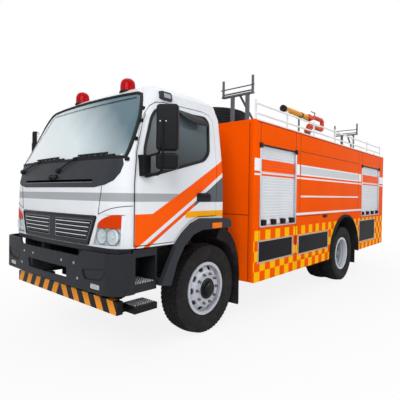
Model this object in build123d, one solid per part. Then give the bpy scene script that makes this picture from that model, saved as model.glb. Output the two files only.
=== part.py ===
import os
from math import cos, radians, sin

from build123d import *

os.makedirs("parts", exist_ok=True)

# A two-axle cab-over fire tender in millimetres: +X forward, +Y to its left, +Z up.
# The origin is on the ground, at the middle of its length and width.

# Wheels
wheelbase = 3760
front_overhang = 1410
rear_overhang = 2560
tyre_radius = 509
tyre_width = 254
rim_seat = 286
rim_flange = 14
rim_wall = 20
bead_half = 95
front_wheel_y = 860
rear_pair_y = 903
twin_spacing = 290
hand_holes = 10

# Steering and axles
kingpin_y = 800
kingpin_radius = 20
boss_radius = 45
boss_half = 70
ear_thickness = 32
spindle_radius = 35
spindle_reach = 205
arm_back = 180
ball_radius = 11
tie_rod_radius = 18
beam_width = 90
running_gap = 0.08
seat_gap = 0.3

# Ladder frame
frame_half = 425
rail_height = 225
rail_flange = 70
rail_web = 8
rail_bottom = 690
spring_y = 393
spring_width = 70
leaf = 12
front_pad_z = 575
rear_pad_z = 588
gearbox_back = 1120
shaft_start_z = 720
shaft_radius = 48
pinion_reach = 330
pinion_lift = 30
frame_nose = 125
plate_spacing = 343
plate_z = 905
plate_hole = 4
engine_x = (-470, 480)
engine_half = 290
engine_z = (600, 1170)
gearbox_half = 170
gearbox_top = 900

# Bumper, guard bar and boarding steps: x from the front axle
bumper_half = 1135
bumper_corner = 180
bumper_wall = 18
bumper_bow = 25
bumper_back = 1168
bumper_z = (700, 1060)
panel_sink = 8
fog_y = (775, 915)
fog_z = (728, 782)
bracket_half = 30
bar_x = (1195, 1260)
bar_half = 1000
bar_z = (500, 620)
tread_x = (860, 1130)
tread_y = (870, 1085)
tread_z = (500, 560)
tread_wall = 12
well_x = (872, 1150)
well_y = (820, 1085)
well_z = (690, 1082)
well_room = (765, 1010)
well_wall = 14

# Cab
cab_bottom = 1095
cab_wall = 45
roof_wall = 45
glass_depth = 10
glass = 6
front_bow = 35
pivot_back = 180
pivot_z = 1060
pivot_radius = 20
pivot_head = 29
door_gap = 9
platform_z = 1212
platform_end = 640
floor_plate = 40
sill = 15
hinge_ahead = 1135
hinge_y = 1080
door_pin_radius = 8
door_pin_length = 40
mirror_tube = 11
mirror_turn = 35
mirror_depth = 62
mirror_width = 200
mirror_heads = [(1975, 2392), (1808, 1952)]
flare_proud = 50
beacon_x = 742
beacon_y = 446
beacon_z = 2660
beacon_radius = 72
beacon_height = 150
seat_y = 540
seat_half = 260
wheel_hub = (830, -530, 1770)
column_foot = (1060, -530, 1600)
column_radius = 35
steering_radius = 205
grille_slats = 5
grille_pitch = 40
grille_slat = 14

# Equipment body
body_setback = 630
body_half = 1210
body_wall = 40
body_bottom = 494
body_top = 2533
rear_step_depth = 50
arch_radius = 700
guard = 12
guard_radius = 585
guard_y = (690, 1000)
guard_foot = 200
liner_in = 610
liner_foot = 240
trim_width = 36
trim_proud = 28
locker_in = 520
shelf_z = 1290
floor_wall = 20
shutter_depth = 38
slat_pitch = 38
slat_back = 9
slat_swell = 5
slat_groove = 5
bottom_bar = 62
flap_gap = 6
flap_axis = 9
flap_pin_radius = 5
flap_pin_reach = 25

# Roof gear
rail_posts = [-655, -1474, -2362, -3255, -4149, -5069, -6040]
rail_levels = (2612, 2735)
post_half = 22
post_top = 2776
post_hole = 9
post_holes = [2572, 2648, 2676, 2704]
rail_tube = 12
gantry_ends = (662, 1123)
gantry_posts = (815, 1046)
gantry_beam = (2866, 2886)
gantry_bar = (2904, 2918)
gantry_rod_z = 2976
gantry_top = 3095
brace_y = 930
brace_back = 430
ladder_y = (700, 980)
rungs = 7
rung_pitch = 270
first_rung = 850
monitor_x = -4700
barrel_z = 3370
barrel_radius = 58
riser_radius = 60
riser_top = 3040
lift_ahead = 60
neck_radius = 50
neck_bend = 70
neck_back = 780
neck_rise = 60
barrel_length = 1140
trunnion_radius = 18
rest_gap = 6
lever_top = 3550

front_axle = (wheelbase + front_overhang + rear_overhang) / 2 - front_overhang
rear_axle = front_axle - wheelbase
rail_top = rail_bottom + rail_height
body_front = front_axle - body_setback
body_rear = rear_axle - rear_overhang + rear_step_depth
deck_under = body_top - body_wall


def from_axle(*values):
    return [front_axle + value for value in values]


def block(x, y, z):
    size = Box(x[1] - x[0], y[1] - y[0], z[1] - z[0])
    return Pos((x[0] + x[1]) / 2, (y[0] + y[1]) / 2, (z[0] + z[1]) / 2) * size


def rod(start, end, radius):
    run = Vector(*end) - Vector(*start)
    return Plane(start, z_dir=run) * Cylinder(radius, run.length, align=(Align.CENTER, Align.CENTER, Align.MIN))


def pipe(points, radius, bend):
    path = FilletPolyline(*points, radius=bend)
    return sweep(Plane(path @ 0, z_dir=path % 0) * Circle(radius), path=path)


def ring(points, radius):
    return FilletPolyline(*points, radius=radius, close=True) if radius else Polyline(*points, close=True)


# An outline in the X-Z plane, drawn out from y[0] to y[1]
def side_slab(points, y, radius=0, shrink=0):
    face = make_face(ring([(x, y[0], z) for x, z in points], radius))
    if shrink:
        face = offset(face, amount=-shrink)
    return extrude(face, amount=y[1] - y[0], dir=(0, 1, 0))


# An outline in the Y-Z plane, drawn out from x[0] to x[1]
def front_slab(points, x, radius=0, shrink=0):
    face = make_face(ring([(x[0], y, z) for y, z in points], radius))
    if shrink:
        face = offset(face, amount=-shrink)
    return extrude(face, amount=x[1] - x[0], dir=(1, 0, 0))


def rectangle(x, z):
    return [(x[0], z[0]), (x[1], z[0]), (x[1], z[1]), (x[0], z[1])]


# A profile of (y, radius) points turned about the Y axis
def turned(points):
    return revolve(make_face(Polyline(*[(0, y, r) for y, r in points], close=True)), Axis.Y)


def other_side(shape):
    return mirror(shape, about=Plane.XZ)


def both_sides(shape):
    return [shape, other_side(shape)]


def save(name, *shapes):
    solids = [solid for shape in shapes for solid in shape.solids()]
    export_step(Compound(children=solids) if len(solids) > 1 else solids[0], f"parts/{name}.step")


# Tyre about the Y axis, centred on y = 0
def tyre():
    bead = rim_seat + seat_gap
    lip = rim_seat + rim_flange + 6
    toe = bead_half - seat_gap
    half = tyre_width / 2
    shoulder_y = half - 22
    shoulder_r = tyre_radius - 14
    bulge_r = (lip + tyre_radius) / 2
    left = [(0, toe, bead), (0, toe, lip), (0, half, bulge_r), (0, shoulder_y, shoulder_r)]
    right = [(x, -y, r) for x, y, r in left]
    edges = [
        Line(right[0], left[0]),
        Line(left[0], left[1]),
        ThreePointArc(*left[1:]),
        ThreePointArc(left[3], (0, 0, tyre_radius), right[3]),
        ThreePointArc(*right[:0:-1]),
        Line(right[1], right[0]),
    ]
    return revolve(make_face(edges), Axis.Y)


# Rim barrel with its two flanges, centred on y = 0
def barrel_ring():
    inside = rim_seat - rim_wall
    edge = bead_half + rim_flange
    lip = rim_seat + rim_flange
    return turned([
        (-edge, inside), (edge, inside), (edge, lip), (bead_half, lip), (bead_half, rim_seat),
        (-bead_half, rim_seat), (-bead_half, lip), (-edge, lip),
    ])


# Oval hand holes round the disc
def hand_hole_cutter(radius, y):
    hole = Pos(radius, y[0], 0) * Rot(-90, 0, 0) * extrude(SlotOverall(72, 42, rotation=90), amount=y[1] - y[0])
    return [Rot(0, 360 * turn / hand_holes, 0) * hole for turn in range(hand_holes)]


# Rim and disc of a single wheel, outboard towards +Y
def single_rim():
    inside = rim_seat - rim_wall
    disc = turned([
        (40, inside + 2), (92, 205), (100, 180), (100, 60), (114, 60), (114, 182), (106, 210), (54, inside + 2),
    ])
    return barrel_ring() + disc - hand_hole_cutter(228, (20, 120))


# Front wheel with its hub and brake drum
def front_rim():
    hub = turned([
        (28, 0), (28, 190), (-20, 190), (-20, 202), (42, 202), (42, 120), (122, 120), (128, 112),
        (128, 72), (165, 66), (172, 56), (172, 0),
    ])
    bore_end = kingpin_y + spindle_reach - front_wheel_y + 2
    bore = rod((0, -30, 0), (0, bore_end, 0), spindle_radius + running_gap)
    return single_rim() + hub - bore


# Rear pair of rims on one hub and drum, the pair's middle at y = 0
def rear_rims():
    half = twin_spacing / 2
    inside = rim_seat - rim_wall
    outer = turned([
        (half - 60, inside + 2), (14, 215), (0, 190), (0, 100), (14, 100), (14, 184), (26, 206),
        (half - 46, inside + 2),
    ])
    holes = hand_hole_cutter(234, (-twin_spacing, twin_spacing))
    discs = outer + mirror(outer, about=Plane.XZ) - holes
    hub = turned([
        (-262, 0), (-262, 200), (-40, 200), (-40, 120), (20, 120), (150, 112), (158, 100), (158, 72),
        (188, 66), (188, 0),
    ])
    bore = rod((0, -270, 0), (0, 150, 0), spindle_radius + 10 + running_gap)
    return Pos(0, half, 0) * barrel_ring() + Pos(0, -half, 0) * barrel_ring() + discs + hub - bore


# Steering knuckle on the left: ears, web, pin, spindle and steering arm
def knuckle():
    x = front_axle
    z = tyre_radius
    low = (z - boss_half - 3 - ear_thickness, z - boss_half - 3)
    high = (z + boss_half + 3, z + boss_half + 3 + ear_thickness)
    web_y = (kingpin_y + boss_radius + 8, kingpin_y + boss_radius + 38)
    ears = [rod((x, kingpin_y, z0), (x, kingpin_y, z1), boss_radius) for z0, z1 in (low, high)]
    tongues = [block((x - boss_radius, x + boss_radius), (kingpin_y, web_y[1]), span) for span in (low, high)]
    web = block((x - boss_radius, x + boss_radius), web_y, (low[0], high[1]))
    pin = rod((x, kingpin_y, low[0]), (x, kingpin_y, high[1]), kingpin_radius)
    spindle = rod((x, web_y[0], z), (x, kingpin_y + spindle_reach, z), spindle_radius)
    tip = x - arm_back
    arm_points = [
        (x + 30, kingpin_y + 30), (x - 30, kingpin_y + 30), (tip - 24, kingpin_y + 10), (tip, kingpin_y - 26),
        (tip + 24, kingpin_y - 10), (x + 30, kingpin_y - 36),
    ]
    arm_face = make_face(Polyline(*[(px, py, low[0]) for px, py in arm_points], close=True))
    arm = extrude(arm_face, amount=ear_thickness)
    ball = rod((tip, kingpin_y, low[1]), (tip, kingpin_y, low[1] + 44), ball_radius)
    return ears[0] + ears[1] + tongues + web + pin + spindle + arm + ball


def tie_rod():
    x = front_axle - arm_back
    z = tyre_radius - boss_half + 17
    ends = (kingpin_y, -kingpin_y)
    bar = rod((x, ends[1], z), (x, ends[0], z), tie_rod_radius)
    eyes = [rod((x, y, z - 16), (x, y, z + 16), 30) for y in ends]
    gaps = (running_gap, seat_gap)
    bores = [rod((x, y, z - 40), (x, y, z + 40), ball_radius + gap) for y, gap in zip(ends, gaps)]
    return bar + eyes - bores


# Front axle: a dropped I-section beam with a kingpin boss at each end
def front_axle_beam():
    z = tyre_radius
    inner = spring_y - spring_width / 2 - 40
    end = kingpin_y - boss_radius / 2
    outline = [
        (end, z - 52), (end, z + 52), (inner + 150, front_pad_z), (inner, front_pad_z),
        (inner - 80, z + 10), (-inner + 80, z + 10), (-inner, front_pad_z), (-inner - 150, front_pad_z),
        (-end, z + 52), (-end, z - 52), (-inner, z - 46), (-inner + 80, z - 92),
        (inner - 80, z - 92), (inner, z - 46),
    ]
    half = beam_width / 2
    beam = front_slab(outline, (front_axle - half, front_axle + half))
    pocket = front_slab(outline, (front_axle + 12, front_axle + half + 1), shrink=20)
    beam = beam - pocket - mirror(pocket, about=Plane((front_axle, 0, 0), z_dir=(1, 0, 0)))
    for side in (1, -1):
        y = side * kingpin_y
        beam += rod((front_axle, y, z - boss_half), (front_axle, y, z + boss_half), boss_radius)
        beam -= rod((front_axle, y, z - 200), (front_axle, y, z + 200), kingpin_radius + running_gap)
    return beam


# Rear axle: banjo housing, tubes, spring pads and wheel spindles
def rear_axle_housing():
    z = tyre_radius
    reach = rear_pair_y + 140
    axle = rod((rear_axle, -reach, z), (rear_axle, reach, z), spindle_radius + 10)
    axle += rod((rear_axle, -rear_pair_y + 300, z), (rear_axle, rear_pair_y - 300, z), 70)
    bowl = Pos(rear_axle, 0, z) * Rot(0, 90, 0) * Cylinder(190, 230)
    axle += fillet(bowl.edges(), 60)
    axle += rod((rear_axle, 0, z + pinion_lift), (rear_axle + pinion_reach, 0, z + pinion_lift), 80)
    for side in (1, -1):
        y = side * spring_y
        pad_y = (y - spring_width / 2, y + spring_width / 2)
        axle += block((rear_axle - 70, rear_axle + 70), pad_y, (z, rear_pad_z))
    return axle


# One leaf spring seated at seat_z with its hangers under the rail
def leaf_spring(axle_x, seat_z, eye_z, leaf_halves):
    top = seat_z + leaf * len(leaf_halves)
    sag = eye_z - top + leaf / 2
    reach = leaf_halves[0]
    bend = (reach ** 2 + sag ** 2) / (2 * sag)
    y = spring_y - spring_width / 2
    pack = None
    for number, half in enumerate(leaf_halves):
        upper = bend + leaf * number
        centre = top + bend
        angle = half / bend
        arcs = [[(axle_x + r * sin(t), y, centre - r * cos(t)) for t in (-angle, 0, angle)]
                for r in (upper, upper + leaf)]
        edges = [
            ThreePointArc(*arcs[0]),
            Line(arcs[0][2], arcs[1][2]),
            ThreePointArc(*arcs[1]),
            Line(arcs[1][0], arcs[0][0]),
        ]
        blade = extrude(make_face(edges), amount=spring_width, dir=(0, 1, 0))
        pack = blade if pack is None else pack + blade
    for side in (1, -1):
        x = axle_x + side * reach
        pack += rod((x, y, eye_z), (x, y + spring_width, eye_z), leaf * 1.6)
        pack += block((x - 26, x + 26), (y, y + spring_width), (eye_z, rail_bottom))
    return pack


# Ladder frame: two channel rails, cross members, cab pivots and cab rests
def ladder_frame():
    x = (body_rear + 110, front_axle + front_overhang - frame_nose)
    inner = frame_half - rail_web
    lip = frame_half - rail_flange
    channel = [
        (frame_half, rail_bottom), (frame_half, rail_top), (lip, rail_top), (lip, rail_top - rail_web),
        (inner, rail_top - rail_web), (inner, rail_bottom + rail_web), (lip, rail_bottom + rail_web),
        (lip, rail_bottom),
    ]
    rail = front_slab(channel, x)
    frame = rail + other_side(rail)
    cross_back = [220, 2650, 3600, 4550, 5750, 6800, 7440]
    for back in cross_back:
        cross_x = front_axle + front_overhang - back
        frame += block((cross_x - 30, cross_x + 30), (-inner, inner), (rail_top - 115, rail_top - 15))
    px = front_axle + front_overhang - pivot_back
    bracket = block((px - pivot_head, px + pivot_head), (lip, frame_half), (rail_top, pivot_z))
    bracket += rod((px, lip, pivot_z), (px, frame_half, pivot_z), pivot_head)
    for side in both_sides(bracket):
        frame += side
    for side in (1, -1):
        frame += rod((px, side * (lip - 60), pivot_z), (px, side * (lip + 10), pivot_z), pivot_radius)
    rest_x = front_axle - 120
    for side in both_sides(block((rest_x - 35, rest_x + 35), (lip, frame_half), (rail_top, platform_z - 0.5))):
        frame += side
    return frame


def engine_gearbox():
    engine = block(from_axle(*engine_x), (-engine_half, engine_half), engine_z)
    gearbox_z = (engine_z[0], gearbox_top)
    gearbox = block(from_axle(-gearbox_back, engine_x[0]), (-gearbox_half, gearbox_half), gearbox_z)
    return fillet(engine.edges().filter_by(Axis.X), 50) + gearbox


def propeller_shaft():
    start = (front_axle - gearbox_back, 0, shaft_start_z)
    end = (rear_axle + pinion_reach, 0, tyre_radius + pinion_lift)
    flange = 30
    shaft = rod((start[0] - flange / 2, 0, start[2]), (end[0] + flange / 2, 0, end[2]), shaft_radius)
    shaft += rod((start[0] - flange, 0, start[2]), start, shaft_radius + 22)
    return shaft + rod(end, (end[0] + flange, 0, end[2]), shaft_radius + 22)


# Heights up the cab: z, nose and tail from the front axle, half width, corner radius
cab_levels = [
    (cab_bottom, 1345, -165, 1100, 240),
    (1650, 1335, -165, 1100, 240),
    (1900, 1275, -172, 1080, 200),
    (2450, 988, -180, 1000, 120),
    (2600, 910, -110, 978, 120),
    (2680, 800, -20, 860, 100),
]
cab_top = cab_levels[-1][0]
rear_corner = 70


def cab_level(z):
    for low, high in zip(cab_levels, cab_levels[1:]):
        if low[0] <= z <= high[0]:
            share = (z - low[0]) / (high[0] - low[0])
            return [a + (b - a) * share for a, b in zip(low, high)]
    raise ValueError("height outside the cab")


# Plan outline of the cab at one height, inset from its outer skin
def cab_plan(z, inset):
    _, nose, tail, half, corner = cab_level(z)
    nose = front_axle + nose - inset
    tail = front_axle + tail + inset
    half = half - inset
    corner = corner - inset
    back = max(rear_corner - inset, 10)
    cheek = nose - front_bow
    bend = 1 - cos(radians(45))
    y1 = half - corner
    y2 = half - back
    cut = corner * bend
    nip = back * bend
    left = [
        ThreePointArc((cheek, y1, z), (cheek - cut, half - cut, z), (cheek - corner, half, z)),
        Line((cheek - corner, half, z), (tail + back, half, z)),
        ThreePointArc((tail + back, half, z), (tail + nip, half - nip, z), (tail, y2, z)),
    ]
    right = [
        ThreePointArc((tail, -y2, z), (tail + nip, -half + nip, z), (tail + back, -half, z)),
        Line((tail + back, -half, z), (cheek - corner, -half, z)),
        ThreePointArc((cheek - corner, -half, z), (cheek - cut, -half + cut, z), (cheek, -y1, z)),
    ]
    rear = Line((tail, y2, z), (tail, -y2, z))
    front = ThreePointArc((cheek, -y1, z), (nose, 0, z), (cheek, y1, z))
    return make_face([front] + left + [rear] + right)


# The cab's outer form between two heights, inset from its skin
def cab_form(inset, low, high):
    heights = [low] + [row[0] for row in cab_levels if low < row[0] < high] + [high]
    return loft([cab_plan(z, inset) for z in heights], ruled=True)


def skin(outer_inset, inner_inset, low, high):
    return cab_form(outer_inset, low, high) - cab_form(inner_inset, low, high)


# Side outlines from the front axle: x, z
flare_line = [(739, 703), (658, 916), (560, 1065), (428, 1171), (289, platform_z), (-300, platform_z)]
flare_crest = [
    (872, 724), (778, 905), (672, 1085), (552, 1205), (425, 1290), (290, 1335), (-165, 1320), (-228, 1285),
]
door_outline = [
    (1153, cab_bottom + sill), (1153, 1665), (1113, 1958), (1011, 2257), (960, 2350), (905, 2430),
    (835, 2478), (720, 2495), (150, 2506), (30, 2485), (-25, 2430), (-38, 2280), (-30, 1950), (0, 1527),
    (0, 1345), (300, 1345), (436, 1300), (563, 1213), (655, cab_bottom + sill),
]
window_outline = [
    (1048, 1735), (1020, 2000), (900, 2320), (835, 2404), (110, 2440), (52, 2390), (95, 2040), (190, 1955),
]
screen_outline = [(985, 1912), (832, 2545), (-832, 2545), (-985, 1912)]
cowl_outline = [(985, 1900), (800, 1652), (-800, 1652), (-985, 1900)]
grille_outline = [(760, 1380), (650, 1100), (-650, 1100), (-760, 1380)]
lamp_outline = [(782, 1388), (680, 1112), (1035, 1120), (1062, 1398)]
rear_window_outline = [(420, 2000), (420, 2330), (-420, 2330), (-420, 2000)]
dash_outline = [(1400, 1500), (1400, 1815), (1150, 1815), (1000, 1760), (1010, 1560), (1120, 1500)]

# Seat outline: x from the front axle, z above its platform
seat_outline = [
    (560, 0), (600, 330), (560, 390), (170, 350), (60, 960), (-40, 960), (-60, 900), (60, 250), (110, 0),
]

# Bumper outlines: y, z
notch_outline = [(650, 1061), (592, 1003), (-592, 1003), (-650, 1061)]
slot_outline = [(400, 770), (430, 870), (-430, 870), (-400, 770)]
panel_outline = [(640, 892), (1010, 930), (942, 826), (692, 800)]


def placed(outline):
    return [(front_axle + x, z) for x, z in outline]


far_side = (500, 1500)
ahead = (front_axle + 600, front_axle + 1700)
behind = (front_axle - 400, front_axle + 100)
door_hole = side_slab(placed(door_outline), far_side, 20)
door_body = side_slab(placed(door_outline), far_side, 26, door_gap)
window_hole = side_slab(placed(window_outline), far_side, 30)
screen_hole = front_slab(screen_outline, ahead, 60)
lamp_hole = front_slab(lamp_outline, (front_axle + 1175, front_axle + 1700), 25)
arch_hole = side_slab(placed(flare_line + [(-300, 600), (739, 600)]), (-1500, 1500))
cab_shell = cab_form(0, cab_bottom, cab_top) - cab_form(cab_wall, cab_bottom, cab_top - roof_wall)
glass_shell = skin(glass_depth, glass_depth + glass, cab_bottom, cab_top - roof_wall)
roof_split = 2440
front_split = front_axle + 702
door_shell = cab_shell & door_body
cab_shell = cab_shell - door_hole - other_side(door_hole) - screen_hole - arch_hole


# Stepped floor: footwell ahead, seat platform over the engine and wheels
def cab_floor():
    step = front_axle + platform_end
    nose = front_axle + 2000
    tail = front_axle - 1000
    profile = [
        (nose, cab_bottom), (nose, cab_bottom + floor_plate), (step + floor_plate, cab_bottom + floor_plate),
        (step + floor_plate, platform_z + floor_plate), (tail, platform_z + floor_plate), (tail, platform_z),
        (step, platform_z), (step, cab_bottom),
    ]
    half = cab_levels[0][3]
    room = cab_form(cab_wall + seat_gap, cab_bottom, platform_z + 2 * floor_plate)
    pan = side_slab(profile, (-half, half)) & room
    door_room = block((front_split - 60, front_axle + 1175), (hinge_y - 46, half), (0, platform_z))
    pan = pan - door_room - other_side(door_room)
    px = front_axle + front_overhang - pivot_back
    lip = frame_half - rail_flange
    lug_y = (lip - 52, lip - 12)
    eye = 34
    lug = block((px - eye, px + eye), lug_y, (pivot_z, cab_bottom))
    lug += rod((px, lug_y[0], pivot_z), (px, lug_y[1], pivot_z), eye)
    lug -= rod((px, lug_y[0] - 1, pivot_z), (px, lug_y[1] + 1, pivot_z), pivot_radius + running_gap)
    return pan + lug + other_side(lug)


def cab_pieces():
    everywhere = (-2000, 2000)
    long_span = (front_axle - 1000, front_axle + 2000)
    above = block(long_span, everywhere, (roof_split, cab_top + 100))
    nose_box = block((front_split, long_span[1]), everywhere, (0, roof_split))
    tail_box = block((long_span[0], front_split), everywhere, (0, roof_split))
    grille_recess = front_slab(grille_outline, ahead, 20) - cab_form(32, cab_bottom, cab_top - 100)
    lamp_recess = lamp_hole - cab_form(30, cab_bottom, cab_top - 100)
    pin_foot = (front_axle + hinge_ahead, hinge_y, cab_bottom + sill - 5)
    pin_tip = (front_axle + hinge_ahead, hinge_y, cab_bottom + sill + door_pin_length)
    front = (cab_shell & nose_box) - grille_recess
    for side in both_sides(lamp_recess):
        front -= side
    for side in both_sides(rod(pin_foot, pin_tip, door_pin_radius)):
        front += side
    rear = (cab_shell & tail_box) - front_slab(rear_window_outline, behind, 50)
    screen = glass_shell & front_slab(screen_outline, ahead, 60, seat_gap)
    rear_glass = glass_shell & front_slab(rear_window_outline, behind, 50, seat_gap)
    save("cab_front", front)
    save("cab_rear", rear)
    save("cab_roof", cab_shell & above)
    save("cab_floor", cab_floor())
    save("cab_glass", screen, rear_glass)


# Grille: a surround and level slats that follow the nose, in two halves
def front_grille():
    face = skin(-4, 30, cab_bottom, 1500) & front_slab(grille_outline, ahead, 20, seat_gap)
    openings = front_slab(grille_outline, ahead, 10, 45) - block(ahead, (-60, 60), (1000, 1500))
    for number in range(grille_slats):
        z = 1160 + number * grille_pitch
        openings -= block(ahead, (-1000, 1000), (z, z + grille_slat))
    return face - (openings - cab_form(18, cab_bottom, 1500))


def head_lamps():
    cover = front_slab(lamp_outline, (front_axle + 1176, front_axle + 1700), 25, seat_gap)
    return both_sides(skin(-5, 30 - seat_gap, cab_bottom, 1500) & cover)


# Dark panel under the windscreen with two wipers lying on it
def cowl_panel():
    panel = skin(-8, -seat_gap, 1500, 2000) & front_slab(cowl_outline, ahead, 60)
    for pivot_y, tip_y in ((330, -330), (-430, -900)):
        x = front_axle + 1300
        arm = front_slab([(pivot_y, 1800), (tip_y, 1845), (tip_y, 1870), (pivot_y, 1840)], (x - 300, x + 300))
        panel += skin(-34, -6, 1500, 2000) & arm
    return panel


def cab_flares():
    outline = placed(flare_crest + [(flare_crest[-1][0], platform_z)] + flare_line[::-1][1:])
    half = cab_levels[0][3]
    return both_sides(side_slab(outline, (half + seat_gap, half + flare_proud)))


def beacons():
    lamp = Cylinder(beacon_radius, beacon_height, align=(Align.CENTER, Align.CENTER, Align.MIN))
    lamp = fillet(lamp.edges().group_by(Axis.Z)[-1], beacon_radius - 12)
    lamp = Pos(front_axle + beacon_x, beacon_y, beacon_z) * lamp
    return both_sides(lamp - cab_form(-seat_gap, cab_bottom, cab_top))


def seat(y):
    base = platform_z + floor_plate
    profile = [(x, base + z) for x, z in seat_outline]
    return side_slab(placed(profile), (y - seat_half, y + seat_half), 25)


def dashboard():
    board = side_slab(placed(dash_outline), (-1000, 1000), 20) & cab_form(cab_wall + seat_gap, 1400, 1900)
    hub = (front_axle + wheel_hub[0], *wheel_hub[1:])
    foot = (front_axle + column_foot[0], *column_foot[1:])
    plane = Plane(hub, z_dir=Vector(*hub) - Vector(*foot))
    wheel = plane * Torus(steering_radius, 16)
    spokes = [plane * Rot(0, 0, turn) * Box(2 * steering_radius - 10, 34, 16) for turn in (0, 60, 120)]
    return board + rod(foot, hub, column_radius) + wheel + spokes


# Door leaf, turning on a pin that stands on the sill, and its pane
def door():
    pin_x = front_axle + hinge_ahead
    pin_top = cab_bottom + sill + door_pin_length + 2
    bore = rod((pin_x, hinge_y, cab_bottom), (pin_x, hinge_y, pin_top), door_pin_radius + running_gap)
    panel = door_shell - window_hole - bore
    pane = glass_shell & side_slab(placed(window_outline), far_side, 30, seat_gap)
    return panel, pane


# Mirror arms on the left door with two heads turned towards the driver
def mirror_set():
    foot_x = front_axle + 1058
    mast = (front_axle + 985, 1268)
    foot = block((foot_x - 40, foot_x + 40), (1000, 1150), (1745, 1935))
    foot -= cab_form(-seat_gap, cab_bottom, cab_top)
    upper = [(foot_x, 1130, 1920), (foot_x - 60, 1230, 1950), (*mast, 2060), (*mast, 2240)]
    lower = [(foot_x, 1130, 1760), (foot_x - 60, 1230, 1760), (*mast, 1810), (*mast, 1900)]
    arms = pipe(upper, mirror_tube, 40) + pipe(lower, mirror_tube, 30)
    arms += rod((*mast, 1890), (*mast, 2080), mirror_tube)
    heads = []
    for low, high in mirror_heads:
        head = block((-mirror_depth, -4), (-65, mirror_width - 65), (low, high))
        head = fillet(head.edges().filter_by(Axis.X), 32)
        head = fillet(head.edges().group_by(Axis.X)[-1], 18)
        heads.append(Pos(*mast, 0) * Rot(0, 0, mirror_turn) * head)
    return foot + arms + heads


# Solid plan form of the bumper, inset from its outer skin
def bumper_form(inset):
    nose = front_axle + front_overhang - inset
    half = bumper_half - inset
    corner = bumper_corner - inset
    back = front_axle + bumper_back - inset
    bend = corner * (1 - cos(radians(45)))
    cheek = nose - bumper_bow
    wing = cheek - corner
    y = half - corner
    low, high = bumper_z
    edges = [
        ThreePointArc((cheek, -y, low), (nose, 0, low), (cheek, y, low)),
        ThreePointArc((cheek, y, low), (cheek - bend, half - bend, low), (wing, half, low)),
        Line((wing, half, low), (back, half, low)),
        Line((back, half, low), (back, -half, low)),
        Line((back, -half, low), (wing, -half, low)),
        ThreePointArc((wing, -half, low), (cheek - bend, -half + bend, low), (cheek, -y, low)),
    ]
    return extrude(make_face(edges), amount=high - low)


# Bumper: a wrapped shell with a notched top, an air slot, lamp openings and sunk corner panels
def front_bumper():
    nose = front_axle + front_overhang
    shell = bumper_form(0) - bumper_form(bumper_wall)
    shell = shell - front_slab(notch_outline, ahead) - front_slab(slot_outline, ahead, 20)
    panel = front_slab(panel_outline, ahead, 30) - bumper_form(panel_sink)
    for cutter in both_sides(block(ahead, fog_y, fog_z)) + both_sides(panel):
        shell -= cutter
    for y in (plate_spacing / 2, -plate_spacing / 2):
        shell -= rod((nose - 100, y, plate_z), (nose + 10, y, plate_z), plate_hole)
    y = frame_half - rail_flange / 2
    bracket_x = (nose - frame_nose, nose - (bumper_wall + bumper_bow) / 2)
    bracket = block(bracket_x, (y - bracket_half, y + bracket_half), (rail_bottom + 10, rail_top - 10))
    return shell + bracket + other_side(bracket)


# Striped underrun bar with a low boarding step hung from each end
def front_guard_bar():
    x = from_axle(*bar_x)
    bar = block(x, (-bar_half, bar_half), bar_z)
    y = frame_half - rail_flange / 2
    hanger = block((x[0] - 45, x[0]), (y - bracket_half, y + bracket_half), (bar_z[0], rail_bottom))
    step_x = from_axle(*tread_x)
    tread = block(step_x, tread_y, tread_z)
    tray_x = (step_x[0] + tread_wall, step_x[1] - tread_wall)
    tray_y = (tread_y[0] + tread_wall, tread_y[1] - tread_wall)
    tread -= block(tray_x, tray_y, (tread_z[0] - 1, tread_z[1] - tread_wall))
    arm = block((step_x[1] - 30, x[0]), (920, 980), (510, 550))
    for side in both_sides(hanger) + both_sides(tread + arm):
        bar += side
    return bar


# Upper boarding step between bumper and wheel arch
def step_wells():
    x = from_axle(*well_x)
    inner_x = (x[0] + well_wall, x[1] - well_wall)
    shell = block(x, well_y, well_z)
    room = block(inner_x, (well_y[0] + well_wall, well_y[1] + 1), well_room)
    under_y = (well_y[0] + well_wall, well_y[1] - well_wall)
    under = block(inner_x, under_y, (well_z[0] - 1, well_room[0] - 20))
    arm = block(from_axle(980, 1060), (frame_half, well_y[0] + 2), (780, 840))
    return both_sides(shell - room - under + arm)


# A band of the given thickness round a wheel
def arch_band(x, radius, thick, y):
    z = tyre_radius
    band = rod((x, y[0], z), (x, y[1], z), radius + thick)
    return band - rod((x, y[0] - 1, z), (x, y[1] + 1, z), radius)


# Guards behind the front wheels; liners, flaps and arch trims at the rear wheels
def mudguards():
    front = arch_band(front_axle, guard_radius, guard, guard_y)
    front &= block((front_axle - 900, front_axle - 150), guard_y, (tyre_radius, 2000))
    back = front_axle - guard_radius
    front += block((back - guard, back), guard_y, (guard_foot, tyre_radius))
    stay_z = (rail_bottom + 10, rail_bottom + 70)
    front += block((back + 25, back + 50), (frame_half, guard_y[0] + 10), stay_z)
    liner_y = (liner_in, body_half - body_wall - seat_gap)
    span = (rear_axle - 900, rear_axle + 900)
    rear = arch_band(rear_axle, arch_radius, guard, liner_y)
    rear &= block(span, liner_y, (tyre_radius, 2000))
    back = rear_axle - arch_radius
    rear += block((back - guard, back), liner_y, (liner_foot, tyre_radius))
    trim_y = (body_half, body_half + trim_proud)
    trim = arch_band(rear_axle, arch_radius, trim_width, trim_y)
    trim &= block(span, trim_y, (body_bottom, 2000))
    return [piece for half in (front, rear, trim) for piece in both_sides(half)]


# Openings of a body side: x from the front axle, z
shutter_openings = [((-1715, -745), (1200, 2228)), ((-5920, -4705), (1200, 2228))]
plate_openings = [((-1643, -716), (730, 1005)), ((-5648, -4585), (650, 1090))]
flap_opening = ((-3000, -1752), (630, 1284))
flap_plate = ((-2950, -1822), (715, 995))
rear_opening = ((-560, 560), (1000, 2228))


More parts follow.
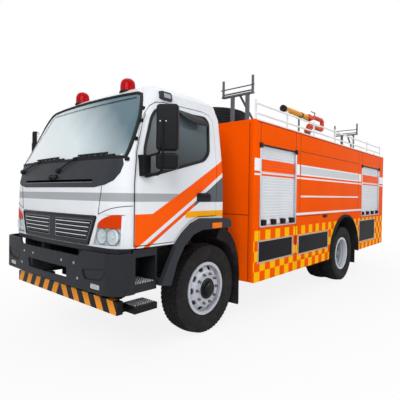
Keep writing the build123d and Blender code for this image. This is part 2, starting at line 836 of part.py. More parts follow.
def opening(entry, y, radius=0, shrink=0):
    (x0, x1), z = entry
    return side_slab(rectangle(from_axle(x0, x1), z), y, radius, shrink)


def body_side():
    y = (body_half - body_wall, body_half)
    through = (y[0] - 1, y[1] + 1)
    panel = block((body_rear, body_front), y, (body_bottom, body_top))
    panel -= rod((rear_axle, through[0], tyre_radius), (rear_axle, through[1], tyre_radius), arch_radius)
    panel -= block((rear_axle - arch_radius, rear_axle + arch_radius), through, (0, tyre_radius))
    for entry in shutter_openings:
        panel -= opening(entry, through)
    for entry in plate_openings + [flap_opening]:
        panel -= opening(entry, through, 12)
    for pin in flap_pins(flap_pin_radius, flap_pin_reach):
        panel += pin
    return panel


# Height and depth of a roller curtain's face: a flat bottom bar and swelling slats
def slat_line(z):
    low, high = z[0] + seat_gap, z[1] - seat_gap
    count = round((high - low - bottom_bar) / slat_pitch)
    pitch = (high - low - bottom_bar) / count
    points = [(low, slat_swell), (low + bottom_bar - slat_groove, slat_swell)]
    for number in range(count):
        base = low + bottom_bar + number * pitch
        points += [(base, 0), (base + slat_groove, slat_swell), (base + pitch - slat_groove, slat_swell)]
    return points + [(high, 0)]


# Section of a roller curtain: depth out from its back, z
def curtain_section(z):
    line = slat_line(z)
    face = [(slat_back + out, level) for level, out in line]
    return [(0, line[0][0])] + face + [(0, line[-1][0])]


def side_shutters():
    back = body_half - shutter_depth
    leaves = []
    for (x0, x1), z in shutter_openings:
        outline = [(back + out, level) for out, level in curtain_section(z)]
        leaves.append(front_slab(outline, from_axle(x0 + seat_gap, x1 - seat_gap)))
    return leaves


def rear_shutter():
    back = body_rear + shutter_depth
    (y0, y1), z = rear_opening
    outline = [(back - out, level) for out, level in curtain_section(z)]
    return side_slab(outline, (y0 + seat_gap, y1 - seat_gap))


def skirt_plates():
    return [opening(entry, (body_half - 18, body_half - 8), 12, seat_gap) for entry in plate_openings]


# Hinge pins of the drop-down flap, one at each end of its opening
def flap_pins(radius, reach):
    (x0, x1), (z0, _) = flap_opening
    y = body_half - flap_axis
    z = z0 + flap_gap + flap_axis
    ends = [(x0 - 20, x0 + flap_gap + reach), (x1 + 20, x1 - flap_gap - reach)]
    return [rod((front_axle + a, y, z), (front_axle + b, y, z), radius) for a, b in ends]


# Drop-down locker flap with a shallow tray for its dark plate
def locker_flap():
    panel = opening(flap_opening, (body_half - body_wall, body_half), 12, flap_gap)
    panel -= opening(flap_plate, (body_half - 10, body_half + 1), 12)
    for bore in flap_pins(flap_pin_radius + running_gap, flap_pin_reach + 2):
        panel -= bore
    return panel


# Floor: a deck over the frame, and on each side a wall, a shelf and two locker bottoms
def body_floor():
    outer = body_half - body_wall
    wall = floor_wall
    arch = arch_radius + guard + 2
    front_x = (rear_axle + arch, body_front - body_wall)
    rear_x = (body_rear + body_wall, rear_axle - arch)
    whole_x = (rear_x[0], front_x[1])
    wall_y = (locker_in - wall, locker_in)
    plates = [
        block(whole_x, wall_y, (rail_top + wall, shelf_z)),
        block(whole_x, (wall_y[0], outer), (shelf_z, shelf_z + wall)),
    ]
    for x in (front_x, rear_x):
        plates.append(block(x, wall_y, (body_bottom, rail_top)))
        plates.append(block(x, (locker_in, outer), (body_bottom, body_bottom + wall)))
    deck = block(whole_x, (-locker_in, locker_in), (rail_top, rail_top + wall))
    return [deck] + plates + [other_side(plate) for plate in plates]


def body_end(x):
    outer = body_half - body_wall
    wall = block(x, (-outer, outer), (body_bottom, deck_under))
    gap = locker_in - floor_wall
    return wall - block((x[0] - 1, x[1] + 1), (-gap, gap), (0, rail_top + floor_wall))


def roof_deck():
    outer = body_half - body_wall
    return block((body_rear, body_front), (-outer, outer), (deck_under, body_top))


# Roof rails: posts on each edge with two tubes
def roof_rails():
    y = body_half - 25
    posts = from_axle(*rail_posts)
    rail = None
    for x in posts:
        post = block((x - post_half, x + post_half), (y - 5, y + 5), (body_top, post_top))
        for z in post_holes:
            post -= rod((x, y - 10, z), (x, y + 10, z), post_hole)
        rail = post if rail is None else rail + post
    for z in rail_levels:
        rail += rod((posts[-1], y, z), (posts[0], y, z), rail_tube)
    return both_sides(rail)


# Ladder gantry on the left: two posts, a beam, end uprights, two bars and a brace
def gantry(x):
    start, end = gantry_ends
    low = gantry_beam[0]
    frame = block((x - 25, x + 25), (start - 12, end + 12), gantry_beam)
    for y in gantry_posts:
        frame += block((x - 20, x + 20), (y - 20, y + 20), (body_top, low + 1))
    for y in gantry_ends:
        frame += block((x - 12, x + 12), (y - 12, y + 12), (low, gantry_top))
    frame += block((x - 10, x + 10), gantry_ends, gantry_bar)
    frame += rod((x, start - 40, gantry_rod_z), (x, end + 22, gantry_rod_z), 8)
    brace = rod((x, brace_y, low + 5), (x - brace_back, brace_y, body_top - 30), 15)
    return frame + (brace - block((x - 900, x + 900), gantry_ends, (body_top - 200, body_top)))


# Spare wheel lying on a low carrier
spare_x = front_axle - 1300
spare_z = body_top + 200


def spare_tyre():
    return Pos(spare_x, 0, spare_z) * Rot(90, 0, 0) * tyre()


def spare_rim():
    rim = Pos(spare_x, 0, spare_z) * Rot(90, 0, 0) * single_rim()
    bar_top = spare_z - tyre_width / 2 - 1
    carrier = rod((spare_x, 0, body_top), (spare_x, 0, spare_z + 120), 70)
    carrier += block((spare_x - 30, spare_x + 30), (-200, 200), (body_top, bar_top))
    for y in (-180, 180):
        carrier += block((spare_x - 420, spare_x + 420), (y - 25, y + 25), (body_top, bar_top))
    return rim + carrier


# Water monitor: fixed riser and barrel rest, turning swan neck, lifting barrel
axis_x = front_axle + monitor_x
lift_x = axis_x + lift_ahead
rest_z = barrel_z - barrel_radius - rest_gap


def monitor_supports():
    riser = rod((axis_x, 0, body_top), (axis_x, 0, riser_top), riser_radius)
    riser += rod((axis_x, 0, body_top), (axis_x, 0, body_top + 25), riser_radius + 70)
    rest_x = lift_x + 400
    post = rod((rest_x, 0, body_top), (rest_x, 0, rest_z - 20), 20)
    return riser, post + block((rest_x - 35, rest_x + 35), (-60, 60), (rest_z - 22, rest_z))


def monitor_turret():
    low_z = riser_top + 160
    tail = axis_x - neck_back
    swivel = rod((axis_x, 0, riser_top + seat_gap), (axis_x, 0, riser_top + 70), riser_radius + 30)
    path = [
        (axis_x, 0, riser_top + 40), (axis_x, 0, low_z), (tail, 0, low_z), (tail, 0, barrel_z + neck_rise),
        (axis_x - 300, 0, barrel_z + neck_rise), (axis_x - 120, 0, barrel_z),
        (lift_x - barrel_radius - 8, 0, barrel_z),
    ]
    neck = pipe(path, neck_radius, neck_bend)
    ear_y = (barrel_radius + 8, barrel_radius + 28)
    yoke = rod((lift_x - barrel_radius - 38, 0, barrel_z), (lift_x - barrel_radius - 8, 0, barrel_z), ear_y[1])
    ear = block((lift_x - barrel_radius - 38, lift_x), ear_y, (barrel_z - 34, barrel_z + 34))
    ear += rod((lift_x, ear_y[0], barrel_z), (lift_x, ear_y[1], barrel_z), 34)
    turret = swivel + neck + yoke + ear + other_side(ear)
    lever_x = axis_x - 350
    turret += rod((lever_x, 0, barrel_z + neck_rise), (lever_x, 0, lever_top), 9)
    turret += rod((lever_x - 25, 0, lever_top - 9), (lever_x + 190, 0, lever_top - 9), 9)
    return turret - rod((lift_x, -200, barrel_z), (lift_x, 200, barrel_z), trunnion_radius + running_gap)


def monitor_barrel():
    muzzle = lift_x + barrel_length
    barrel = rod((lift_x, 0, barrel_z), (muzzle, 0, barrel_z), barrel_radius)
    barrel += Pos(lift_x, 0, barrel_z) * Sphere(barrel_radius)
    for start, end, proud in ((lift_x + 295, lift_x + 350, 4), (muzzle - 70, muzzle, 8)):
        barrel += rod((start, 0, barrel_z), (end, 0, barrel_z), barrel_radius + proud)
    barrel -= rod((muzzle - 400, 0, barrel_z), (muzzle + 1, 0, barrel_z), barrel_radius - 12)
    reach = barrel_radius + 28
    return barrel + rod((lift_x, -reach, barrel_z), (lift_x, reach, barrel_z), trunnion_radius)


def tail_lamps():
    x = (body_rear - 20, body_rear)
    column = block(x, (1010, 1130), (700, 1000))
    return both_sides(column)


# Rear boarding step and the ladder to the roof
def rear_ladder():
    x = (body_rear - rear_step_depth, body_rear)
    tube_x = x[0] + 14
    ladder = block(x, (-1150, 1150), (body_bottom, body_bottom + 90))
    for y in ladder_y:
        ladder += rod((tube_x, y, body_bottom + 60), (tube_x, y, body_top + 120), 14)
        for z in (1300, 2300):
            ladder += rod((tube_x, y, z), (body_rear, y, z), 10)
    for number in range(rungs):
        z = first_rung + number * rung_pitch
        ladder += rod((tube_x, ladder_y[0], z), (tube_x, ladder_y[1], z), 11)
    return ladder


def build():
    cab_pieces()
    save("front_grille", front_grille())
    save("head_lamps", *head_lamps())
    save("cowl_panel", cowl_panel())
    save("cab_flares", *cab_flares())
    save("beacons", *beacons())
    save("seats", seat(seat_y), seat(-seat_y))
    save("dashboard", dashboard())
    panel, pane = door()
    for side, place in (("left", lambda s: s), ("right", other_side)):
        save(f"door_{side}", place(panel))
        save(f"door_glass_{side}", place(pane))
        save(f"mirror_{side}", place(mirror_set()))
        save(f"knuckle_{side}", place(knuckle()))
        save(f"front_tyre_{side}", place(Pos(front_axle, front_wheel_y, tyre_radius) * tyre()))
        save(f"front_rim_{side}", place(Pos(front_axle, front_wheel_y, tyre_radius) * front_rim()))
        hub = Pos(rear_axle, rear_pair_y, tyre_radius)
        pair = [hub * Pos(0, shift, 0) * tyre() for shift in (-twin_spacing / 2, twin_spacing / 2)]
        save(f"rear_tyres_{side}", *[place(t) for t in pair])
        save(f"rear_rims_{side}", place(hub * rear_rims()))
        save(f"body_side_{side}", place(body_side()))
        save(f"locker_flap_{side}", place(locker_flap()))
    save("tie_rod", tie_rod())
    save("ladder_frame", ladder_frame())
    save("front_axle", front_axle_beam())
    save("rear_axle", rear_axle_housing())
    front_spring = leaf_spring(front_axle, front_pad_z, 662, [650, 520, 400, 280, 160])
    rear_spring = leaf_spring(rear_axle, rear_pad_z, 668, [660, 540, 430, 320, 210, 120])
    save("leaf_springs", *both_sides(front_spring), *both_sides(rear_spring))
    save("engine_gearbox", engine_gearbox())
    save("propeller_shaft", propeller_shaft())
    save("front_bumper", front_bumper())
    save("front_guard_bar", front_guard_bar())
    save("step_wells", *step_wells())
    save("mudguards", *mudguards())
    save("body_floor", *body_floor())
    save("body_front", body_end((body_front - body_wall, body_front)))
    rear_wall = body_end((body_rear, body_rear + body_wall))
    save("body_rear", rear_wall - block((body_rear - 1, body_rear + body_wall + 1), *rear_opening))
    shutters = [leaf for side in side_shutters() for leaf in both_sides(side)]
    save("roller_shutters", *shutters, rear_shutter())
    save("skirt_plates", *[plate for side in skirt_plates() for plate in both_sides(side)])
    save("roof_deck", roof_deck())
    save("roof_rails", *roof_rails())
    save("ladder_gantries", gantry(body_front - 40), gantry(front_axle - 4600))
    save("spare_tyre", spare_tyre())
    save("spare_rim", spare_rim())
    save("monitor_supports", *monitor_supports())
    save("monitor_turret", monitor_turret())
    save("monitor_barrel", monitor_barrel())
    save("tail_lamps", *tail_lamps())
    save("rear_ladder", rear_ladder())


build()
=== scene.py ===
import math
import bpy
import bmesh
from mathutils import Matrix, Vector


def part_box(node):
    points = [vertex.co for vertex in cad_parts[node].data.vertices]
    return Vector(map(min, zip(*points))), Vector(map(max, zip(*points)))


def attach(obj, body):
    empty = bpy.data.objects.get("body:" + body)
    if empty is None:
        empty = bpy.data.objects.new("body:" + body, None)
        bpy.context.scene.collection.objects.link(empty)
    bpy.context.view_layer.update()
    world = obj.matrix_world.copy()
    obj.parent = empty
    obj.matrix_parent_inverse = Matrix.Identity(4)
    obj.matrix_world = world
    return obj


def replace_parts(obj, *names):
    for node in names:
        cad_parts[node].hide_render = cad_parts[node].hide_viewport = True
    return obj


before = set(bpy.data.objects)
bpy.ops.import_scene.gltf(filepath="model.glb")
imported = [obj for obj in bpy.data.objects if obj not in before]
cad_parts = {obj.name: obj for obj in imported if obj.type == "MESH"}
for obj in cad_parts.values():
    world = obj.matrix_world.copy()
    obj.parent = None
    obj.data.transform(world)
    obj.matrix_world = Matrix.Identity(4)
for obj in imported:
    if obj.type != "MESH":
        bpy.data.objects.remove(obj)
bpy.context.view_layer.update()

frontAxle = 2.455        # x of the front axle, metres
rearAxle = -1.305
wheelHeight = 0.509
bothSides = (("Left", 1), ("Right", -1))


def at(x, y, z):         # a point measured from the front axle
    return Vector((frontAxle + x, y, z))


class Wire:              # a socket that can be reckoned with
    def __init__(self, tree, socket=None):
        self.tree = tree
        self.socket = socket

    def make(self, kind, settings, out, sockets):
        node = self.tree.nodes.new(kind)
        for key, value in settings.items():
            if key == "stops":
                ramp = node.color_ramp.elements
                while len(ramp) < len(value):
                    ramp.new(0.5)
                for stop, (place, colour) in zip(ramp, value):
                    stop.position = place
                    stop.color = colour
            else:
                setattr(node, key, value)
        for key, value in sockets.items():
            if isinstance(value, Wire):
                self.tree.links.new(value.socket, node.inputs[key])
            else:
                node.inputs[key].default_value = value
        return Wire(self.tree, None if out is None else node.outputs[out])

    def sum(self, operation, *values, clamp=False):
        settings = {"operation": operation, "use_clamp": clamp}
        return self.make("ShaderNodeMath", settings, 0, dict(enumerate(values)))

    def __add__(self, other):
        return self.sum("ADD", self, other)

    def __sub__(self, other):
        return self.sum("SUBTRACT", self, other)

    def __rsub__(self, other):
        return self.sum("SUBTRACT", other, self)

    def __mul__(self, other):
        return self.sum("MULTIPLY", self, other)

    def __mod__(self, other):
        return self.sum("FLOORED_MODULO", self, other)

    def __rmod__(self, other):
        return self.sum("FLOORED_MODULO", other, self)

    __radd__ = __add__
    __rmul__ = __mul__

    def size(self):
        return self.sum("ABSOLUTE", self)

    def floor(self):
        return self.sum("FLOOR", self)

    def root(self):
        return self.sum("SQRT", self)

    def wave(self, rate):
        return self.sum("SINE", self * rate)

    def larger(self, other):
        return self.sum("MAXIMUM", self, other)

    def over(self, edge, soft=0.0015):     # 0 below the edge, 1 above it
        return self.sum("MULTIPLY_ADD", self - edge, 1 / soft, 0.5, clamp=True)

    def within(self, low, high, soft=0.0015):
        return self.over(low, soft) * (1 - self.over(high, soft))

    def paintOver(self, mask, colour):     # a colour laid over this one where mask is 1
        settings = {"data_type": "RGBA"}
        return self.make("ShaderNodeMix", settings, 2, {0: mask, 6: self, 7: colour})

    def noise(self, scale, detail=3.0, rough=0.5):
        sockets = {"Vector": self, "Scale": scale, "Detail": detail, "Roughness": rough}
        return self.make("ShaderNodeTexNoise", {}, 0, sockets)

    def spread(self, low, high):           # 0..1 to low..high
        return self.sum("MULTIPLY_ADD", self, high - low, low)

    def axes(self):
        node = self.make("ShaderNodeSeparateXYZ", {}, 0, {0: self}).socket.node
        return [Wire(self.tree, socket) for socket in node.outputs]


def rgb(red, green, blue):
    return (red, green, blue, 1.0)


def hexColour(text):     # written as on screen, kept as light
    parts = [int(text[place:place + 2], 16) / 255 for place in (0, 2, 4)]
    return rgb(*[((p + 0.055) / 1.055) ** 2.4 if p > 0.04045 else p / 12.92 for p in parts])


blackTone = "121315"
colours = {name: hexColour(text) for name, text in {
    "white": "e4e7eb", "orange": "fb5a02", "deepOrange": "ea5410", "yellow": "ffbf0c", "amber": "f9ab14",
    "stripeGrey": "a3a6a9", "slate": "5c6368", "black": blackTone, "bandGrey": "d0d5d9",
    "brightWhite": "f3f4f5", "shutterWhite": "dfe2e6", "barAmber": "f79a1c", "dishGrey": "a9aeb6",
    "dishPaintedShade": "5a6069", "dishPaintedHighlight": "d3d8df", "dust": "5a5752", "thread": "565b63", "treadPlate": "4a4d50",
}.items()}


def newMaterial(name):
    material = bpy.data.materials.new(name)
    material.use_nodes = True
    material.node_tree.nodes.clear()
    start = Wire(material.node_tree)
    place = start.make("ShaderNodeTexCoord", {}, "Object", {})
    return material, place


def plainColour(place, colour):            # a colour with a slight cloudiness
    cloud = place.noise(2.3, 4.0)
    settings = {"stops": [(0.3, [c * 0.94 for c in colour[:3]] + [1]), (0.7, colour)]}
    return place.make("ShaderNodeValToRGB", settings, 0, {0: cloud})


def surface(material, place, sockets, grain):      # grain is height, distance, strength
    links = dict(zip(("Height", "Distance", "Strength"), grain))
    normal = place.make("ShaderNodeBump", {}, 0, links)
    shader = place.make("ShaderNodeBsdfPrincipled", {}, 0, {**sockets, "Normal": normal})
    place.make("ShaderNodeOutputMaterial", {}, None, {"Surface": shader})
    return material


def paint(name, livery, rough=0.22, shine=0.16):   # livery gives the paint's colour
    material, place = newMaterial(name)
    colour = livery(place)
    dust = place.axes()[2].over(0.75, 0.9)
    film = place.noise(9.0, 5.0)
    roughness = film.spread(rough - 0.05, rough + 0.08) + (1 - dust) * 0.06
    return surface(material, place, {
        "Base Color": colour, "Roughness": roughness, "Specular IOR Level": shine,
    }, (place.noise(260.0, 2.0), 0.0004, 0.02))


cabStripes = {           # x from the front axle, z
    "sideFrom": 0.97, "doorFront": 1.142,
    "grey": (1.513, 1.590), "greyFrom": 0.25, "noseFrom": 1.14,
    "lower": (1.764, 0.5914), "upper": (1.907, 0.5368), "level": 1.40,     # wide stripe: height, slope
    "thin": (0.045, 0.088), "thinFrom": 0.33,      # under the wide stripe
    "slate": (0.047, 0.09), "slateFoot": 1.505, "slateFront": 0.36,
    "amber": (1.343, 1.411), "amberSlant": (1.17, 1.37, -0.4), "amberEnd": 1.88, "amberFront": 0.5,
}


def cabLivery(place):
    x, y, z = place.axes()
    x = x - frontAxle
    cut = cabStripes
    side = y.size().over(cut["sideFrom"], 0.01)
    colour = plainColour(place, colours["white"])
    lower = cut["lower"][0] - cut["lower"][1] * x
    upper = (cut["upper"][0] - cut["upper"][1] * x).larger(cut["level"])
    behind = (x.over(cut["greyFrom"]) * (z - upper).over(-0.02)).larger(x.over(cut["noseFrom"]))
    colour = colour.paintOver(z.within(*cut["grey"]) * behind, colours["stripeGrey"])
    onDoor = (cut["doorFront"] - x).over(0) * side
    wide = (z - lower).over(0) * (upper - z).over(0) * onDoor
    colour = colour.paintOver(wide, colours["orange"])
    gap = lower - z
    thin = gap.within(*cut["thin"]) * x.over(cut["thinFrom"]) * onDoor
    colour = colour.paintOver(thin, colours["deepOrange"])
    block = (z.over(cut["slateFoot"]) * gap.over(cut["slate"][0])).larger(gap.within(*cut["slate"]))
    colour = colour.paintOver(block * (cut["slateFront"] - x).over(0) * side, colours["slate"])
    lean, foot, front = cut["amberSlant"]
    low = z.within(*cut["amber"]) * (x + lean * (z - foot)).over(front) * (cut["amberEnd"] - x - z).over(0)
    return colour.paintOver(low * side * (cut["amberFront"] - x).over(0), colours["amber"])


bodyStripes = {          # x from the front axle, z
    "sideFrom": 1.2, "square": 0.1294, "corner": (-0.63, 0.494), "chequerTop": 1.141, "pane": (-4.48, -1.88),
    "blocks": [(-0.735, -0.2), (-1.845, -1.715), (-4.66, -4.50), (-7.0, -5.94)],
    "band": (1.893, 2.05), "bandMiddle": (1.915, 2.03), "line": (1.838, 1.862), "rib": (1.565, 1.588),
}


def bodyLivery(place):
    x, y, z = place.axes()
    x = x - frontAxle
    cut = bodyStripes
    side = y.size().over(cut["sideFrom"], 0.004)
    colour = plainColour(place, colours["orange"])
    column = ((cut["corner"][0] - x) * (1 / cut["square"])).floor()
    row = ((z - cut["corner"][1]) * (1 / cut["square"])).floor()
    odd = (column + row) % 2
    chequer = (1 - odd) * (cut["chequerTop"] - z).over(0) * side
    colour = colour.paintOver(chequer, colours["yellow"])
    pane = x.within(*cut["pane"])
    blocks = pane
    for span in cut["blocks"]:
        blocks = blocks.larger(x.within(*span))
    colour = colour.paintOver(z.within(*cut["band"]) * side * blocks, colours["brightWhite"])
    colour = colour.paintOver(z.within(*cut["bandMiddle"]) * pane * side, colours["bandGrey"])
    colour = colour.paintOver(z.within(*cut["line"]) * side, colours["brightWhite"])
    return colour.paintOver(z.within(*cut["rib"]) * pane * side, colours["brightWhite"])


def shutterLivery(place):                  # the body's bands run on in orange
    x, y, z = place.axes()
    side = y.size().over(1.1)
    colour = plainColour(place, colours["shutterWhite"])
    for band in ("band", "line"):
        colour = colour.paintOver(z.within(*bodyStripes[band]) * side, colours["orange"])
    return colour


barStripes = {"across": 4.9, "up": 2.6, "shift": 0.2, "front": 1.2, "middle": 0.01, "end": 0.985}


def barLivery(place):    # chevrons that lean away from the middle
    x, y, z = place.axes()
    cut = barStripes
    wide = y.size()
    slant = ((wide * cut["across"] + z * cut["up"] - cut["shift"]) % 1).over(0.5, 0.01)
    front = (x - frontAxle).over(cut["front"], 0.004) * wide.over(cut["middle"]) * (cut["end"] - wide).over(0)
    return plainColour(place, colours["black"]).paintOver(slant * front, colours["barAmber"])


# squared radius span of the painted shade in the dish; y spans of the painted highlights on the barrel's steps
dish = {"shade": (0.0, 0.0655), "barrelFrom": 0.066, "steps": [(1.095, 1.2, 0.006), (1.045, 1.078, 0.008)]}


def dishLivery(place):   # rear rims: painted shade in the dish, painted highlights at the barrel's steps
    x, y, z = place.axes()
    x = x - rearAxle
    z = z - wheelHeight
    reach = x * x + z * z                  # squared distance from the axle
    colour = plainColour(place, colours["dishGrey"])
    colour = colour.paintOver(reach.within(*dish["shade"], 0.006), colours["dishPaintedShade"])
    one, two = [y.size().within(*step) for step in dish["steps"]]
    return colour.paintOver(one.larger(two) * reach.over(dish["barrelFrom"], 0.003), colours["dishPaintedHighlight"])


def single(text):
    return lambda place: plainColour(place, hexColour(text))


def plastic(name, text, rough=0.5, shine=0.2):
    material, place = newMaterial(name)
    roughness = place.noise(14.0, 4.0).spread(rough - 0.07, rough + 0.09)
    return surface(material, place, {
        "Base Color": plainColour(place, hexColour(text)), "Roughness": roughness, "Specular IOR Level": shine,
    }, (place.noise(420.0, 2.0), 0.0006, 0.25))


def metal(name, text, rough, metallic=1.0, grain=300.0):
    material, place = newMaterial(name)
    wear = place.noise(18.0, 5.0)
    return surface(material, place, {
        "Base Color": plainColour(place, hexColour(text)), "Metallic": metallic,
        "Roughness": wear.spread(rough - 0.06, rough + 0.1),
    }, (place.noise(grain, 2.0), 0.0004, 0.15))


def rubber(name, text):
    material, place = newMaterial(name)
    dust = place.noise(7.0, 6.0, 0.65)
    tone = plainColour(place, hexColour(text)).paintOver(dust.over(0.62, 0.3) * 0.25, colours["dust"])
    return surface(material, place, {
        "Base Color": tone, "Roughness": dust.spread(0.62, 0.85), "Specular IOR Level": 0.15,
    }, (place.noise(180.0, 3.0), 0.0008, 0.3))


def lens(name, text, flutes, clear=0.0):   # moulded lamp lens with upright flutes
    material, place = newMaterial(name)
    x, y, z = place.axes()
    wave = y.wave(flutes) * 0.5 + 0.5
    return surface(material, place, {
        "Base Color": plainColour(place, hexColour(text)), "Roughness": wave.spread(0.05, 0.14),
        "Transmission Weight": clear, "Specular IOR Level": 0.08,
    }, (wave, 0.001, 0.3))


def glassPane(name, tones, lean, see):     # pane with a painted sky reflection in its colour that leans over y and z, partly clear
    material, place = newMaterial(name)
    stops = [(stop, hexColour(text)) for stop, text in tones]
    x, y, z = place.axes()
    film = place.noise(3.0, 3.0)
    share = y * lean[0] + z * lean[1] + lean[2] + film * 0.08
    # painted reflection: a fixed sky gradient laid into the glass's colour
    paintedSkyReflection = place.make("ShaderNodeValToRGB", {"stops": stops}, 0, {0: share})
    shade = place.make("ShaderNodeBsdfTransparent", {}, 0, {0: stops[0][1]})
    gloss = place.make("ShaderNodeBsdfPrincipled", {}, 0, {
        "Base Color": paintedSkyReflection, "Roughness": film.spread(0.03, 0.06), "Specular IOR Level": 0.4,
    })
    mixed = place.make("ShaderNodeMixShader", {}, 0, {0: film.spread(see, see + 0.06), 1: gloss, 2: shade})
    place.make("ShaderNodeOutputMaterial", {}, None, {"Surface": mixed})
    return material


def cloth(name, text, threads):
    material, place = newMaterial(name)
    x, y, z = place.axes()
    weave = y.wave(threads) * z.wave(threads)
    tone = plainColour(place, hexColour(text)).paintOver(weave.over(0, 1.0) * 0.3, colours["thread"])
    return surface(material, place, {
        "Base Color": tone, "Roughness": 0.9, "Sheen Weight": 0.3,
    }, (weave, 0.001, 0.4))


def tread(name, lugRate):                  # chequered anti-slip plate
    material, place = newMaterial(name)
    x, y, z = place.axes()
    lugs = x.wave(lugRate) * y.wave(lugRate)
    return surface(material, place, {
        "Base Color": plainColour(place, colours["treadPlate"]), "Metallic": 0.7,
        "Roughness": lugs.spread(0.38, 0.55),
    }, (lugs.over(0.1, 0.5), 0.003, 0.6))


finishKinds = [
    (paint, {            # livery, roughness, shine
        "cabPaint": (cabLivery, 0.22, 0.07), "bodyPaint": (bodyLivery, 0.24, 0.008),
        "barPaint": (barLivery, 0.32), "railPaint": (single("eceded"), 0.35),
        "neckPaint": (single("d8401c"), 0.28), "barrelPaint": (single("eda02e"), 0.28),
        "shutter": (shutterLivery, 0.34, 0.05), "wheelSteel": (dishLivery, 0.4, 0.2),
    }),
    (plastic, {          # colour, roughness, shine
        "charcoal": ("2a2d33", 0.48), "bumperGrey": ("212429", 0.45), "blackGloss": (blackTone, 0.2),
        "blackTrim": (blackTone, 0.55), "inside": ("7b7e82", 0.6), "darkPanel": ("1a1b1f", 0.35, 0.05),
        # gapBlack: black of the joint gaps, and of the painted shade in the grille recess and the cowl slot
        "mirrorBlack": ("0f1013", 0.4, 0.12), "jointShade": ("5a1f08", 0.6), "gapBlack": ("060607", 0.8, 0.0),
        # edgeGrey: lighter grey of the painted highlights on the grille and cowl edges
        "edgeGrey": ("74777c", 0.35),
    }),
    (metal, {            # colour, roughness, metallic, grain
        "chrome": ("d5d8db", 0.16), "alloy": ("c9ccd0", 0.34), "sheet": ("b4b7ba", 0.42),
        "wheelSilver": ("c3c7cf", 0.36, 0.2), "nutSteel": ("74787e", 0.35, 0.6),
        "chassis": ("2c2d2f", 0.55, 0.2), "castIron": ("55585a", 0.62, 0.6, 90.0),
        "gantry": ("54575c", 0.45, 0.2), "mirrorGlass": ("dfe4e8", 0.07),
        "reflector": ("f4f6f7", 0.24, 0.05), "frameTan": ("bfae98", 0.4, 0.3),
    }),
    (rubber, {"tyre": ("1f1f21",), "guard": ("1d1e20",)}),
    (lens, {             # colour, flutes, clearness
        "redLens": ("b00409", 300.0), "markerAmber": ("f27c1c", 300.0), "amberLens": ("d23c04", 420.0),
        "clearLens": ("e6ebee", 260.0, 0.55),
    }),
    (glassPane, {        # tones of the painted reflection, its lean, how much shows through
        "screen": ([(0.1, "f8fcfd"), (0.52, "dde9ec"), (0.92, "56727e")], (0.42, 0.6, -0.82), 0.1),
        "pane": ([(0.0, "2b3031"), (0.4, "4f5b60"), (1.0, "6d7e86")], (0.0, 1.6, -2.84), 0.3),
        "lampGlass": ([(0.0, "f2f5f6"), (1.0, "dfe5e8")], (0.0, 0.5, 0.0), 0.9),
    }),
    (cloth, {"seatCloth": ("3b3f46", 1600)}),
    (tread, {"tread": (150,)}),
]
finishes = {name: maker(name, *values) for maker, table in finishKinds for name, values in table.items()}
nodeFinish = {
    "cabPaint": ["cab_front", "cab_rear", "cab_roof", "door_left", "door_right"],
    "bodyPaint": ["body_front", "body_rear", "body_side_left", "body_side_right",
                  "locker_flap_left", "locker_flap_right"],
    "barPaint": ["front_guard_bar"], "railPaint": ["roof_rails"], "neckPaint": ["monitor_turret"],
    "barrelPaint": ["monitor_barrel"], "shutter": ["roller_shutters"],
    "bumperGrey": ["front_bumper", "step_wells"], "charcoal": ["cab_flares", "cowl_panel", "front_grille"],
    "mirrorBlack": ["mirror_left", "mirror_right"], "inside": ["dashboard", "cab_floor"],
    "darkPanel": ["skirt_plates"], "sheet": ["body_floor", "roof_deck", "rear_ladder"],
    "wheelSilver": ["front_rim_left", "front_rim_right"],
    "wheelSteel": ["rear_rims_left", "rear_rims_right", "spare_rim"],
    "chassis": ["ladder_frame", "front_axle", "rear_axle", "leaf_springs", "propeller_shaft", "tie_rod",
                "knuckle_left", "knuckle_right"],
    "castIron": ["engine_gearbox"], "gantry": ["ladder_gantries", "monitor_supports"],
    "tyre": ["front_tyre_left", "front_tyre_right", "rear_tyres_left", "rear_tyres_right", "spare_tyre"],
    "guard": ["mudguards"], "redLens": ["beacons"], "blackTrim": ["tail_lamps"], "clearLens": ["head_lamps"],
    "screen": ["cab_glass"], "pane": ["door_glass_left", "door_glass_right"], "seatCloth": ["seats"],
}
for finishName, nodeNames in nodeFinish.items():
    for nodeName in nodeNames:
        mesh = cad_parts[nodeName].data
        mesh.materials.clear()
        mesh.materials.append(finishes[finishName])
print("materials on", sum(map(len, nodeFinish.values())), "solids")


def turns(count, start=0.0):               # angles round a full circle
    return [2 * math.pi * (step + start) / count for step in range(count)]


def spaced(low, high, count):              # values from low to high in equal steps
    return [low + (high - low) * step / count for step in range(count + 1)]


def addObject(name, data):
    thing = bpy.data.objects.new(name, data)
    bpy.context.scene.collection.objects.link(thing)
    return thing


